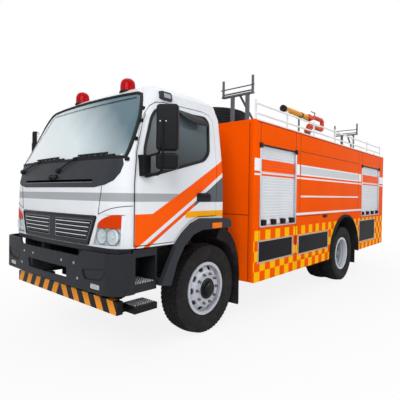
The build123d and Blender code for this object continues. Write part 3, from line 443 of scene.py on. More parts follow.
class Shape:             # one piece's mesh, built up from simple forms
    def __init__(self):
        self.bm = bmesh.new()

    def grid(self, rows, closed=False):    # each row is a closed section
        verts = [[self.bm.verts.new(point) for point in row] for row in rows]
        following = verts[1:] + (verts[:1] if closed else [])
        for one, two in zip(verts, following):
            for step in range(len(one)):
                after = (step + 1) % len(one)
                self.bm.faces.new((one[step], one[after], two[after], two[step]))
        if not closed:
            self.bm.faces.new(verts[0][::-1])
            self.bm.faces.new(verts[-1])
        return self

    def box(self, low, high):
        base = [(low[0], low[1]), (high[0], low[1]), (high[0], high[1]), (low[0], high[1])]
        return self.grid([[Vector((x, y, z)) for x, y in base] for z in (low[2], high[2])])

    def prism(self, points, depth):
        return self.grid([points, [point + Vector(depth) for point in points]])

    def tube(self, points, radius, sides=12, closed=False):
        points = [Vector(point) for point in points]
        count = len(points)
        rows = []
        normal = None
        for step, point in enumerate(points):
            before = points[step - 1] if step or closed else point
            after = points[(step + 1) % count] if step < count - 1 or closed else point
            run = (after - before).normalized()
            if normal is None:
                normal = run.orthogonal().normalized()
            else:
                normal = (normal - run * normal.dot(run)).normalized()
            other = run.cross(normal)
            rows.append([point + (normal * math.cos(t) + other * math.sin(t)) * radius for t in turns(sides)])
        return self.grid(rows, closed)

    def lathe(self, profile, centre, axis, steps=48, closed=False):
        axis = Vector(axis).normalized()
        across = axis.orthogonal().normalized()
        upward = axis.cross(across)
        spokes = [across * math.cos(t) + upward * math.sin(t) for t in turns(steps)]
        rows = []
        for reach, radius in profile:
            middle = Vector(centre) + axis * reach
            rows.append([middle + spoke * max(radius, 1e-4) for spoke in spokes])
        return self.grid(rows, closed)

    def mirrored(self):  # adds the other side of the vehicle
        twin = bmesh.ops.duplicate(self.bm, geom=self.bm.faces[:])["geom"]
        verts = [item for item in twin if isinstance(item, bmesh.types.BMVert)]
        bmesh.ops.scale(self.bm, vec=(1, -1, 1), verts=verts)
        faces = [item for item in twin if isinstance(item, bmesh.types.BMFace)]
        bmesh.ops.reverse_faces(self.bm, faces=faces)
        return self

    def toSide(self, sign):                # a left-hand form carried over to the right
        if sign < 0:
            bmesh.ops.scale(self.bm, vec=(1, -1, 1), verts=self.bm.verts[:])
        return self

    def place(self, name, body, slotName, finish, bevel=0.0, sharp=40):
        bmesh.ops.recalc_face_normals(self.bm, faces=self.bm.faces[:])
        mesh = bpy.data.meshes.new(name)
        self.bm.to_mesh(mesh)
        self.bm.free()
        mesh.polygons.foreach_set("use_smooth", [True] * len(mesh.polygons))
        mesh.set_sharp_from_angle(angle=math.radians(sharp))
        piece = addObject(name, mesh)
        mesh.materials.append(finishes[finish])
        if bevel:
            edge = piece.modifiers.new("edge", "BEVEL")
            edge.width = bevel
            edge.segments = 2
            edge.limit_method = "ANGLE"
        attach(piece, body)
        return piece


cabLevels = [            # z, nose, half width, corner radius
    (1.095, 1.345, 1.100, 0.240), (1.650, 1.335, 1.100, 0.240), (1.900, 1.275, 1.080, 0.200),
    (2.450, 0.988, 1.000, 0.120), (2.600, 0.910, 0.978, 0.120), (2.680, 0.800, 0.860, 0.100),
]
noseBow = 0.035
bumperFront = {"front": 1.410, "flat": 0.955, "corner": 0.180, "bow": 0.025}


def cabLevel(z):
    for low, high in zip(cabLevels, cabLevels[1:]):
        if z <= high[0] or high is cabLevels[-1]:
            share = (z - low[0]) / (high[0] - low[0])
            return [a + (b - a) * share for a, b in zip(low, high)][1:]


def bowed(y, front, flat, corner, bow):    # x of a front that bows out and turns at its corners
    if abs(y) <= flat:
        bend = (flat ** 2 + bow ** 2) / (2 * bow)
        return front - bend + math.sqrt(bend ** 2 - y ** 2)
    return front - bow - corner + math.sqrt(max(corner ** 2 - (abs(y) - flat) ** 2, 0))


def onNose(y, z, lift=0.0):                # point on the cab's front skin
    nose, half, corner = cabLevel(z)
    return at(bowed(y, nose, half - corner, corner, noseBow) + lift, y, z)


def onSide(x, z, lift=0.0):                # point on the cab's left skin
    return at(x, cabLevel(z)[1] + lift, z)


def onBumper(y, z, lift=0.0):              # point on the bumper's front skin
    return at(bowed(y, **bumperFront) + lift, y, z)


def rounded(points, radius, steps=5):      # closed outline with its corners turned
    result = []
    for number, corner in enumerate(points):
        corner = Vector(corner)
        before = Vector(points[number - 1]) - corner
        after = Vector(points[(number + 1) % len(points)]) - corner
        reach = min(radius, before.length * 0.45, after.length * 0.45)
        one = corner + before.normalized() * reach
        two = corner + after.normalized() * reach
        for step in range(steps + 1):
            share = step / steps
            result.append(one.lerp(corner, share).lerp(corner.lerp(two, share), share))
    return result


def divided(points, pitch):                # points added along each straight run of a closed outline
    result = []
    for one, two in zip(points, points[1:] + points[:1]):
        count = max(1, int((two - one).length / pitch))
        result += [one.lerp(two, step / count) for step in range(count)]
    return result


def refined(line, count):                  # each run of an open line cut in equal steps
    runs = zip(line, line[1:])
    fine = [Vector(one).lerp(Vector(two), step / count) for one, two in runs for step in range(count)]
    return fine + [Vector(line[-1])]


def lookUp(line, value, key, result):      # reads one coordinate of a line at a value of the other
    for one, two in zip(line, line[1:]):
        low, high = sorted((one[key], two[key]))
        if low <= value <= high and one[key] != two[key]:
            share = (value - one[key]) / (two[key] - one[key])
            return one[result] + (two[result] - one[result]) * share
    return line[-1][result]


def between(low, high):  # straight edge from (y, z) to (y, z)
    return lambda z: low[0] + (high[0] - low[0]) * (z - low[1]) / (high[1] - low[1])


def nosePatch(shape, left, right, low, high, back, front, across=10, up=8):
    rows = []            # a plate on the nose between two edges
    for z in spaced(low, high, up):
        run = spaced(left(z), right(z), across)
        rows.append([onNose(y, z, front) for y in run] + [onNose(y, z, back) for y in run[::-1]])
    return shape.grid(rows)


def bead(skin, line, lift, radius, sides=8, closed=True):  # round strip along a line on a skin
    return Shape().tube([skin(*point, lift) for point in line], radius, sides, closed)


tyre = {
    "radius": 0.509, "lip": 0.306, "bead": 0.2863, "beadHalf": 0.0947, "half": 0.105, "fall": 0.014,
    "bulge": 0.034, "bulgeArc": 0.86 * math.pi, "wallSteps": 18, "ribSteps": (4, 5, 12, 15), "rib": 0.003,
    "turns": 240, "depth": 0.011,
    "crown": [0.096, 0.0905, 0.0895, 0.0835, 0.0825, 0.058, 0.057, 0.050, 0.049, 0.026, 0.025, 0.018, 0.017],
    "grooves": [(0.0175, 0.0255), (0.0495, 0.0575), (0.083, 0.090)],
    "blocks": (0.0575, 0.083), "blockCut": 0.5, "shoulder": (0.09, 0.46), "shoulderCut": 0.8, "pitch": 4,
}


def treadCut(place, radius, turn):         # share of the tread's depth that is cut away
    across = abs(place)
    inGroove = any(low < across < high for low, high in tyre["grooves"])
    inBlock = not inGroove and tyre["blocks"][0] <= across <= tyre["blocks"][1]
    onShoulder = across >= tyre["shoulder"][0] and radius > tyre["shoulder"][1]
    if onShoulder and turn % tyre["pitch"] == 0:
        return tyre["shoulderCut"]
    stagger = tyre["pitch"] // 2 if place > 0 else 0
    if inBlock and (turn + stagger) % tyre["pitch"] == 0:
        return tyre["blockCut"]
    return 1 if inGroove else 0


def treadTyre(shape, centre, axis):
    half = []            # (place on the axle, radius) from the rim to the middle of the tread
    for step in range(tyre["wallSteps"] + 1):
        t = step / tyre["wallSteps"]
        rib = tyre["rib"] if step in tyre["ribSteps"] else 0
        bulge = math.sin(t * tyre["bulgeArc"]) * tyre["bulge"] + rib
        place = tyre["beadHalf"] + bulge + (tyre["half"] - tyre["beadHalf"]) * t
        half.append((place, tyre["lip"] + (tyre["radius"] - tyre["fall"] - tyre["lip"]) * t))
    half += [(place, tyre["radius"] - tyre["fall"] * (place / tyre["half"]) ** 2) for place in tyre["crown"]]
    profile = half + [(-place, radius) for place, radius in half[::-1]]
    axis = Vector(axis).normalized()
    across = axis.orthogonal().normalized()
    upward = axis.cross(across)
    rows = []
    for turn, angle in enumerate(turns(tyre["turns"])):
        spoke = across * math.cos(angle) + upward * math.sin(angle)
        line = [(tyre["beadHalf"], tyre["bead"])]
        line += [(place, radius - tyre["depth"] * treadCut(place, radius, turn)) for place, radius in profile]
        line.append((-tyre["beadHalf"], tyre["bead"]))
        rows.append([Vector(centre) + axis * place + spoke * radius for place, radius in line])
    return shape.grid(rows, closed=True)


tyreSets = [             # piece, body, node, axle, hub places
    ("treadFront", "front_wheel", "front_tyre", frontAxle, [0.860]),
    ("treadRear", "rear_wheels", "rear_tyres", rearAxle, [0.758, 1.048]),
]
for pieceName, body, node, axle, hubs in tyreSets:
    for side, sign in bothSides:
        shape = Shape()
        for y in hubs:
            treadTyre(shape, (axle, sign * y, wheelHeight), (0, 1, 0))
        piece = shape.place(pieceName + side, f"{body}_{side.lower()}", "tyre_rubber", "tyre", sharp=30)
        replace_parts(piece, f"{node}_{side.lower()}")
spareMiddle = at(-1.3, 0, 2.733)
spare = treadTyre(Shape(), spareMiddle, (0, 0, 1))
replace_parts(spare.place("treadSpare", "chassis", "tyre_rubber", "tyre", sharp=30), "spare_tyre")
print("tyres done")


wheelNuts = {"count": 10, "circle": 0.1675, "size": 0.0145, "height": 0.026}
hubBolts = {"count": 8, "radius": 0.009, "tip": 0.006}
holeShadeRing = [(0.0, 0.203), (0.0, 0.262), (0.004, 0.262), (0.004, 0.203)]    # dark ring of painted shade behind the hand holes
wheelEnds = {            # nuts: face and finish; bolts: circle, face and height; drum: y of the painted shade ring
    "Front": {
        "axle": frontAxle, "body": "front_wheel", "hub": 0.860, "nuts": (0.114, "nutSteel"), "drum": 0.888,
        "cap": ("hubCap", "charcoal_plastic", "blackGloss"), "bolts": (0.098, 0.136, 0.008),
        "capLine": [(0.112, 0.118), (0.130, 0.118), (0.136, 0.108), (0.140, 0.084), (0.168, 0.080),
                    (0.178, 0.066), (0.182, 0.03)],
    },
    "Rear": {
        "axle": rearAxle, "body": "rear_wheels", "hub": 0.903, "nuts": (0.014, "sheet"), "drum": 0.803,
        "cap": ("hubFlange", "wheel_silver", "castIron"), "bolts": (0.09, 0.163, 0.009),
        "capLine": [(0.150, 0.112), (0.160, 0.110), (0.164, 0.1), (0.166, 0.03)],
    },
}


def nutRing(shape, centre, sign, face):
    size, height = wheelNuts["size"], wheelNuts["height"]
    nut = [(-0.002, size * 1.35), (0.004, size * 1.35), (0.004, size * 1.02), (height, size)]
    stud = [(height - 0.001, size * 0.6), (height + 0.012, size * 0.58), (height + 0.014, size * 0.4)]
    for angle in turns(wheelNuts["count"]):
        spot = Vector(centre) + Vector((math.cos(angle), 0, math.sin(angle))) * wheelNuts["circle"]
        spot.y += sign * face
        shape.lathe(nut, spot, (0, sign, 0), 6)
        shape.lathe(stud, spot, (0, sign, 0), 10)
    return shape


for side, sign in bothSides:
    axis = (0, sign, 0)
    for end, plan in wheelEnds.items():
        body = f"{plan['body']}_{side.lower()}"
        hub = Vector((plan["axle"], sign * plan["hub"], wheelHeight))
        face, finish = plan["nuts"]
        nutRing(Shape(), hub, sign, face).place(f"nuts{end}{side}", body, "wheel_silver", finish, 0.001)
        cap = Shape().lathe(plan["capLine"], hub, axis, 40)
        circle, face, height = plan["bolts"]
        head = [(0, hubBolts["radius"]), (height, hubBolts["radius"]), (height + 0.001, hubBolts["tip"])]
        for angle in turns(hubBolts["count"], 0.5):
            away = Vector((math.cos(angle) * circle, sign * face, math.sin(angle) * circle))
            cap.lathe(head, hub + away, axis, 6)
        name, slotName, finish = plan["cap"]
        cap.place(f"{name}{side}", body, slotName, finish, 0.002)
    for end in ("Rear", "Front"):
        plan = wheelEnds[end]
        behind = (plan["axle"], sign * plan["drum"], wheelHeight)
        # ring of painted shade that keeps the hand holes dark
        drum = Shape().lathe(holeShadeRing, behind, axis, 40, True)
        drum.place(f"drum{end}{side}", f"{plan['body']}_{side.lower()}", "chassis_steel", "chassis")
print("wheel fittings done")


screenEdge = [           # (y, z) of the screen's outer edge, left half from the top down
    (0.0, 2.600), (0.300, 2.597), (0.600, 2.590), (0.800, 2.580), (0.868, 2.555), (0.906, 2.488),
    (0.935, 2.410), (0.963, 2.316), (0.980, 2.204), (0.994, 2.097), (1.003, 1.997), (1.005, 1.912),
]
screenBorder = {"z": (1.910, 2.560), "lift": (0.0005, 0.0025), "head": 2.538, "headHalf": 0.862,
                "headLift": (0.0003, 0.0027)}
screenSeal = {"pitch": 0.05, "radius": 0.018}
openingEdge = between((0.978, 1.912), (0.736, 2.912))      # edge of the glass in the cab's opening


def screenSide(z):
    return lookUp(screenEdge, z, 1, 0)


border = Shape()
nosePatch(border, openingEdge, screenSide, *screenBorder["z"], *screenBorder["lift"], 4, 24).mirrored()
head, (back, front) = screenBorder["head"], screenBorder["headLift"]
rows = []
for y in spaced(-screenBorder["headHalf"], screenBorder["headHalf"], 40):      # glass edge over the opening
    top = lookUp(screenEdge, abs(y), 0, 1)
    section = ((head, front), (top, front), (top, back), (head, back))
    rows.append([onNose(y, z, lift) for z, lift in section])
border.grid(rows).place("screenBorder", "cab", "window_glass", "screen", sharp=30)
seal = [Vector((-y, z)) for y, z in screenEdge[:0:-1]] + [Vector(point) for point in screenEdge]
sealStrip = bead(onNose, divided(seal, screenSeal["pitch"]), 0.0, screenSeal["radius"])
sealStrip.place("screenSeal", "cab", "charcoal_plastic", "blackTrim")
windowEdge = [           # (x, z) of a door window
    (1.048, 1.735), (1.020, 2.000), (0.900, 2.320), (0.835, 2.404), (0.110, 2.440), (0.052, 2.390),
    (0.095, 2.040), (0.190, 1.955),
]
windowSeal = {"corner": 0.05, "pitch": 0.08, "lift": -0.004, "radius": 0.016}
windowRing = divided(rounded(windowEdge, windowSeal["corner"]), windowSeal["pitch"])
for side, sign in bothSides:
    ring = [onSide(x, z, windowSeal["lift"]) for x, z in windowRing]
    ring = [(point.x, point.y * sign, point.z) for point in ring]
    sealStrip = Shape().tube(ring, windowSeal["radius"], 8, True)
    sealStrip.place(f"windowSeal{side}", f"door_{side.lower()}", "charcoal_plastic", "blackTrim")
print("window seals done")


bodyFace = 1.210         # y of the equipment body's outer face
openings = [             # roller shutters: x from the front axle, z
    ((-1.715, -0.745), (1.200, 2.228)), ((-5.920, -4.705), (1.200, 2.228)),
]
rearOpening = {"half": 0.558, "z": (1.002, 2.226), "face": 0.029, "back": 0.038}
slats = {"pitch": 0.038, "swell": 0.0055, "face": 1.181, "back": 1.172, "bar": 0.062, "room": 0.002,
         "barProud": 0.004, "seam": -0.001, "flat": 0.03, "shares": (0.07, 0.2, 0.5, 0.8, 0.93)}


def slatProfile(low, high):                # (depth, z) up the curtain's face
    proud, flat = slats["barProud"], slats["flat"]
    points = [(proud, low), (proud, low + slats["bar"] - proud), (0, low + slats["bar"])]
    count = int(round((high - low - slats["bar"]) / slats["pitch"]))
    pitch = (high - low - slats["bar"]) / count
    for number in range(count):
        base = low + slats["bar"] + number * pitch
        for share in slats["shares"]:
            swell = slats["swell"] * math.sin(math.pi * (share - flat) / (1 - 2 * flat))
            points.append((swell, base + share * pitch))
        points.append((slats["seam"], base + pitch))
    return points


curtains = Shape()
room = slats["room"]
for (xLow, xHigh), (low, high) in openings:
    face = [at(xLow + room, slats["face"] + depth, z) for depth, z in slatProfile(low + room, high - room)]
    back = [at(xLow + room, slats["back"], z) for z in (high - room, low + room)]
    curtains.prism(face + back, (xHigh - xLow - 2 * room, 0, 0))
curtains.mirrored()
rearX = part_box("body_rear")[0].x
half = rearOpening["half"]
face = [Vector((rearX + rearOpening["face"] - depth, -half, z)) for depth, z in slatProfile(*rearOpening["z"])]
back = [Vector((rearX + rearOpening["back"], -half, z)) for z in rearOpening["z"][::-1]]
curtains.prism(face + back, (0, 2 * half, 0))
curtainPiece = curtains.place("shutterCurtains", "chassis", "shutter_aluminium", "shutter", sharp=50)
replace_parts(curtainPiece, "roller_shutters")

guides = Shape()
pads = Shape()
guideRail = {"half": 0.014, "back": 1.176, "proud": 0.009, "foot": 0.01}
guideSill = {"z": (-0.022, -0.002), "proud": 0.012}
endBlock = {"half": 0.030, "z": (-0.040, 0.022), "sunk": 0.002, "proud": 0.024}
topBar = {"inset": 0.03, "back": 1.18, "z": (-0.008, 0.007), "proud": 0.010}
latchBlock = {"count": 4, "inset": 0.10, "half": 0.0425, "height": 0.072, "back": 1.181, "proud": 0.030,
              "step": 0.012, "tabShare": 0.6, "tabFoot": 0.03}
latchBar = {"past": 0.02, "y": (1.184, 1.2), "z": (-0.02, -0.008)}
for (xLow, xHigh), (low, high) in openings:
    for x in (xLow, xHigh):
        guides.box(at(x - guideRail["half"], guideRail["back"], low - guideRail["foot"]),
                   at(x + guideRail["half"], bodyFace + guideRail["proud"], high))
        pads.box(at(x - endBlock["half"], bodyFace - endBlock["sunk"], high + endBlock["z"][0]),
                 at(x + endBlock["half"], bodyFace + endBlock["proud"], high + endBlock["z"][1]))
    guides.box(at(xLow, guideRail["back"], low + guideSill["z"][0]),
               at(xHigh, bodyFace + guideSill["proud"], low + guideSill["z"][1]))
    pads.box(at(xLow + topBar["inset"], topBar["back"], high + topBar["z"][0]),
             at(xHigh - topBar["inset"], bodyFace + topBar["proud"], high + topBar["z"][1]))
    half, top, proud = latchBlock["half"], low + latchBlock["height"], bodyFace + latchBlock["proud"]
    tab, step = half * latchBlock["tabShare"], latchBlock["step"]
    for x in spaced(xHigh - latchBlock["inset"], xLow + latchBlock["inset"], latchBlock["count"] - 1):
        pads.box(at(x - half, latchBlock["back"], low), at(x + half, proud - step, top))
        pads.box(at(x - tab, bodyFace, low + latchBlock["tabFoot"]), at(x + tab, proud, top - step))
        pads.box(at(x - half - latchBar["past"], latchBar["y"][0], top + latchBar["z"][0]),
                 at(x + half + latchBar["past"], latchBar["y"][1], top + latchBar["z"][1]))
guides.mirrored().place("shutterGuides", "chassis", "shutter_aluminium", "alloy", 0.003)
pads.mirrored().place("shutterLatches", "chassis", "charcoal_plastic", "blackTrim", 0.005)
print("shutters done")


windows = [((-1.643, -0.716), (0.730, 1.005)), ((-5.648, -4.585), (0.650, 1.090))]
flapWindow = ((-2.950, -1.822), (0.715, 0.995))
flapPlate = (1.2002, 1.2062)               # y of the flap's dark plate
frameStrip = {"border": 0.020, "proud": 0.006, "back": 1.196}
flapLatch = [            # spans of x, z and of y from the body's face
    ((-2.88, -2.72), (1.232, 1.275), (-0.001, 0.012)), ((-2.855, -2.745), (1.238, 1.252), (0.01, 0.026)),
]


def windowFrame(shape, entry, back=frameStrip["back"]):
    (xLow, xHigh), (low, high) = entry
    border = frameStrip["border"]
    face = bodyFace + frameStrip["proud"]
    for z in (low, high):
        shape.box(at(xLow - border, back, z - border / 2), at(xHigh + border, face, z + border / 2))
    for x in (xLow, xHigh):
        shape.box(at(x - border / 2, back, low - border / 2), at(x + border / 2, face, high + border / 2))
    return shape


frames = Shape()
for entry in windows:
    windowFrame(frames, entry)
frames.mirrored().place("skirtFrames", "chassis", "sheet_metal", "frameTan", 0.003)
for side, sign in bothSides:
    (xLow, xHigh), (low, high) = flapWindow
    plate = Shape().box(at(xLow, flapPlate[0], low), at(xHigh, flapPlate[1], high))
    edge = windowFrame(Shape(), flapWindow, flapPlate[0])
    latch = Shape()
    for (xBack, xFront), (foot, top), (inner, outer) in flapLatch:
        latch.box(at(xBack, bodyFace + inner, foot), at(xFront, bodyFace + outer, top))
    body = f"locker_flap_{side.lower()}"
    plate.toSide(sign).place(f"flapPlate{side}", body, "dark_panel", "darkPanel", 0.003)
    edge.toSide(sign).place(f"flapFrame{side}", body, "sheet_metal", "frameTan", 0.003)
    latch.toSide(sign).place(f"flapLatch{side}", body, "charcoal_plastic", "blackTrim", 0.004)
print("skirt plates done")


seams = [                # x span, z span of each panel joint's middle on a body side
    ((-0.745, -0.745), (2.262, 2.505)), ((-1.715, -1.715), (2.262, 2.505)), ((-1.860, -1.860), (1.345, 2.505)),
    ((-4.495, -4.495), (1.345, 2.505)), ((-4.700, -4.700), (2.262, 2.505)), ((-5.920, -5.920), (2.262, 2.505)),
    ((-4.495, -1.860), (2.250, 2.250)), ((-5.940, -0.660), (2.505, 2.505)), ((-1.735, -1.735), (0.510, 1.190)),
    ((-4.680, -4.680), (1.000, 1.190)), ((-0.733, -0.733), (1.020, 1.190)),
]
seamHalf, seamSunk, seamProud = 0.0045, 0.002, 0.0006
frontSeams = [((1.112, 1.120), (0.510, 2.490)), ((0.0, 1.112), (1.332, 1.340))]    # y, z on the front wall
frontSeamX = (-0.632, -0.6288)
joints = Shape()
for (xLow, xHigh), (low, high) in seams:
    near = at(xLow - seamHalf, bodyFace - seamSunk, low - seamHalf)
    joints.box(near, at(xHigh + seamHalf, bodyFace + seamProud, high + seamHalf))
for (yLow, yHigh), (low, high) in frontSeams:
    joints.box(at(frontSeamX[0], yLow, low), at(frontSeamX[1], yHigh, high))
joints.mirrored().place("panelJoints", "chassis", "charcoal_plastic", "jointShade")

trimBars = {             # spans of x, y and z on the left side, bevel
    "sideMoulding": ((-4.675, -1.738), (1.209, 1.226), (1.298, 1.334), 0.005),
    "panelRib": ((-4.47, -1.885), (1.209, 1.219), (1.563, 1.590), 0.004),
    "roofEdge": ((-6.03, -0.64), (1.196, 1.2145), (2.521, 2.5365), 0.003),
    "sideReflectors": ((-1.765, -1.705), (1.210, 1.220), (0.868, 1.0), 0.003),
    "flareLamps": ((-0.035, 0.129), (1.149, 1.163), (1.219, 1.279), 0.006),
}


def trimBar(name, body, slotName, finish):
    *spans, bevel = trimBars[name]
    low, high = zip(*spans)
    Shape().box(at(*low), at(*high)).mirrored().place(name, body, slotName, finish, bevel)


trimBar("sideMoulding", "chassis", "rail_white", "railPaint")
trimBar("panelRib", "chassis", "rail_white", "railPaint")
cornerPost = {"x": (-0.642, -6.032), "y": 1.2, "z": (0.50, 2.52), "radius": 0.0135}
corner = Shape()
for x in cornerPost["x"]:
    corner.tube([at(x, cornerPost["y"], z) for z in cornerPost["z"]], cornerPost["radius"], 12)
corner.mirrored().place("cornerPosts", "chassis", "orange_paint", "bodyPaint")
trimBar("roofEdge", "chassis", "rail_white", "railPaint")
trimBar("sideReflectors", "chassis", "lamp_red", "redLens")

lipSection = [           # (radius, y) of the rubber lip round the edge of each rear arch
    (0.6980, 1.166), (0.6980, 1.242), (0.7075, 1.248), (0.7150, 1.2385), (0.7002, 1.2385), (0.7002, 1.166),
]
rows = []
for angle in spaced(0, math.pi, 48):
    spoke = Vector((math.cos(angle), 0, math.sin(angle)))
    rows.append([Vector((rearAxle, y, wheelHeight)) + spoke * radius for radius, y in lipSection])
Shape().grid(rows).mirrored().place("archLips", "chassis", "rubber_guard", "guard", sharp=35)
deckEnd = {"x": (-0.632, -6.272), "thick": 0.0045, "half": 1.168, "z": (2.4925, 2.5345)}
nosing = Shape()
(low, high), half = deckEnd["z"], deckEnd["half"]
for x in deckEnd["x"]:                     # painted ends of the roof deck
    nosing.box(at(x, -half, low), at(x + deckEnd["thick"], half, high))
nosing.place("deckNosing", "chassis", "orange_paint", "bodyPaint", 0.001)
finEdge = [              # (x, z) of the fin that carries the front guard up to the flare
    (-0.150, 1.088), (-0.212, 1.196), (-0.300, 1.186), (-0.420, 1.112), (-0.520, 0.980), (-0.585, 0.800),
    (-0.612, 0.600), (-0.612, 0.205), (-0.588, 0.205), (-0.588, 0.509), (-0.545, 0.740), (-0.455, 0.888),
    (-0.300, 1.018),
]
finY, finThick = 0.984, 0.016
fin = Shape().prism([at(x, finY, z) for x, z in finEdge], (0, finThick, 0))
fin.mirrored().place("guardFins", "chassis", "rubber_guard", "guard", 0.004)
splash = {"x": (-0.6302, -0.6245), "half": 0.800, "z": (0.905, 1.205)}
(back, front), (low, high) = splash["x"], splash["z"]
plate = Shape().box(at(back, -splash["half"], low), at(front, splash["half"], high))
plate.place("splashPlates", "chassis", "rubber_guard", "guard", 0.002)
frontPost = {"x": -0.631, "y": 1.168, "proud": 0.014, "half": 0.038, "foot": 0.497, "height": 2.022}
section = [
    at(frontPost["x"] + frontPost["proud"] * math.sin(t), frontPost["y"] + frontPost["half"] * math.cos(t),
       frontPost["foot"])
    for t in spaced(0, math.pi, 16)
]
post = Shape().prism(section, (0, 0, frontPost["height"]))
post.mirrored().place("frontPosts", "chassis", "orange_paint", "bodyPaint", sharp=30)
print("body trim done")


grilleEdge = between((0.6017, 1.1), (0.7117, 1.38))
grille = {"middle": 0.061, "shade": (1.147, 1.333), "shadeLift": (-0.0178, -0.0165),
          "slats": 4, "slatFoot": 1.187, "slatPitch": 0.040, "slatFrom": 0.075, "slatLift": 0.0045,
          "slatRadius": 0.0062}
grilleLip = {"middle": 0.064, "z": (1.148, 1.332), "corner": 0.012, "pitch": 0.05, "lift": 0.0035,
             "radius": 0.0035}
grilleRim = {"corner": 0.03, "pitch": 0.06, "lift": 0.004, "radius": 0.009}
grilleReach = between((0.584, 1.1), (0.694, 1.38))         # outer ends of the bright slats
grilleFrame = [(0.745, 1.368), (0.642, 1.108), (-0.642, 1.108), (-0.745, 1.368)]
# dark sheet of painted shade in the grille's recess behind the slats
grilleDark = Shape()
nosePatch(grilleDark, lambda z: grille["middle"], grilleEdge, *grille["shade"], *grille["shadeLift"], 12, 4)
grilleDark.mirrored().place("grilleShade", "cab", "charcoal_plastic", "gapBlack")
# lighter bead of painted highlight along the grille frame's inner edge
middle, (low, high) = grilleLip["middle"], grilleLip["z"]
grilleLine = [(middle, low), (grilleEdge(low), low), (grilleEdge(high), high), (middle, high)]
grilleLine = divided(rounded(grilleLine, grilleLip["corner"], 3), grilleLip["pitch"])
lips = bead(onNose, grilleLine, grilleLip["lift"], grilleLip["radius"], 6)
lips.mirrored().place("grilleEdgeHighlights", "cab", "charcoal_plastic", "edgeGrey")
chromeSlats = Shape()
for number in range(grille["slats"]):
    z = grille["slatFoot"] + number * grille["slatPitch"]
    run = spaced(grille["slatFrom"], grilleReach(z), 12)
    chromeSlats.tube([onNose(y, z, grille["slatLift"]) for y in run], grille["slatRadius"], 8)
chromeSlats.mirrored().place("grilleSlats", "cab", "sheet_metal", "chrome")
frameLine = divided(rounded(grilleFrame, grilleRim["corner"]), grilleRim["pitch"])
rim = bead(onNose, frameLine, grilleRim["lift"], grilleRim["radius"])
rim.place("grilleRim", "cab", "charcoal_plastic", "blackGloss")

lampInner = between((0.716, 1.122), (0.762, 1.272))
lampOuter = between((1.021, 1.122), (1.027, 1.395))
holeInner = between((0.681, 1.113), (0.781, 1.387))
holeOuter = between((1.034, 1.120), (1.061, 1.397))
lampFoot, lampSplit = 1.120, 1.272         # the turn lamp begins at the split
lampSpan = {             # z span, back and front of each layer from the skin
    "innerSurround": (1.115, 1.389, -0.028, 0.001), "outerSurround": (1.122, 1.391, -0.028, 0.001),
    "housing": (lampFoot, 1.389, -0.029, -0.026), "amber": (lampSplit, 1.393, -0.022, 0.004),
    "cover": (lampFoot, lampSplit - 0.004, -0.003, 0.004),
}
lampCurve = {"reach": 0.16, "from": 1.30, "over": 0.095}
lampBowls = {"places": [(0.815, 1.196), (0.945, 1.196)], "size": 0.066, "lift": -0.027}
lampLine = {"share": 1.08, "lift": -0.011, "radius": 0.0035}
bowlLine = [             # depth, share of the size
    (0.0, 0.25), (0.003, 0.6), (0.012, 1), (0.016, 1.06), (0.014, 1.1), (0.0, 1.08),
]
bulbLine = [(0.0, 0.016), (0.014, 0.015), (0.020, 0.008)]


def amberInner(z):       # the turn lamp's curved inner edge
    return lampInner(z) + lampCurve["reach"] * max(0, (z - lampCurve["from"]) / lampCurve["over"]) ** 2


surround = nosePatch(Shape(), holeInner, amberInner, *lampSpan["innerSurround"])
nosePatch(surround, lampOuter, holeOuter, *lampSpan["outerSurround"], 3)
surround.mirrored().place("lampSurrounds", "cab", "white_paint", "cabPaint", sharp=30)
housing = nosePatch(Shape(), lampInner, lampOuter, *lampSpan["housing"])
housing.mirrored().place("lampHousings", "cab", "lamp_clear", "reflector", sharp=30)
bowls = Shape()
lines = Shape()
size = lampBowls["size"]
ringSize = size * lampLine["share"]
for y, z in lampBowls["places"]:
    spot = onNose(y, z, lampBowls["lift"])
    way = (onNose(y, z, 1) - spot).normalized()
    bowls.lathe([(depth, size * share) for depth, share in bowlLine], spot, way, 28)
    bowls.lathe(bulbLine, spot, way, 14)
    ring = [(y + ringSize * math.cos(t), z + ringSize * math.sin(t)) for t in turns(28)]
    lines.tube([onNose(*point, lampLine["lift"]) for point in ring], lampLine["radius"], 6, True)
bowls.mirrored().place("lampBowls", "cab", "lamp_clear", "reflector")
lines.mirrored().place("lampLines", "cab", "lamp_clear", "nutSteel")
amber = nosePatch(Shape(), amberInner, lampOuter, *lampSpan["amber"], 10, 12)
amber.mirrored().place("turnLamps", "cab", "lamp_clear", "amberLens", 0.004, 30)
clear = nosePatch(Shape(), lampInner, lampOuter, *lampSpan["cover"])
lampCover = clear.mirrored().place("lampCovers", "cab", "lamp_clear", "lampGlass", 0.003, 30)
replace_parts(lampCover, "head_lamps")
print("front lamps done")


valance = {"half": 1.070, "level": 1.1}    # dark strip under the nose
valanceSection = [(-0.004, 1.098), (-0.004, 1.050), (-0.008, 1.046), (-0.014, 1.050), (-0.014, 1.098)]
rows = []
for y in spaced(-valance["half"], valance["half"], 60):
    foot = [(onNose(y, valance["level"], lift), z) for lift, z in valanceSection]
    rows.append([point + Vector((0, 0, z - valance["level"])) for point, z in foot])
Shape().grid(rows).place("noseValance", "cab", "charcoal_plastic", "charcoal", sharp=35)
cowlEdge = [             # (z, half width) of the dark panel under the screen
    (1.640, 0.705), (1.666, 0.868), (1.703, 0.951), (1.770, 0.994), (1.845, 1.007), (1.904, 0.992),
]
cowlLift = (0.0004, 0.008)
slot = {"y": (-0.715, 0.665), "z": (1.690, 1.716), "lift": (0.004, 0.0086)}
slotLip = {"y": (-0.72, 0.67), "z": 1.688, "lift": 0.008, "radius": 0.004}


def cowlHalf(z):
    return lookUp(cowlEdge, z, 0, 1)


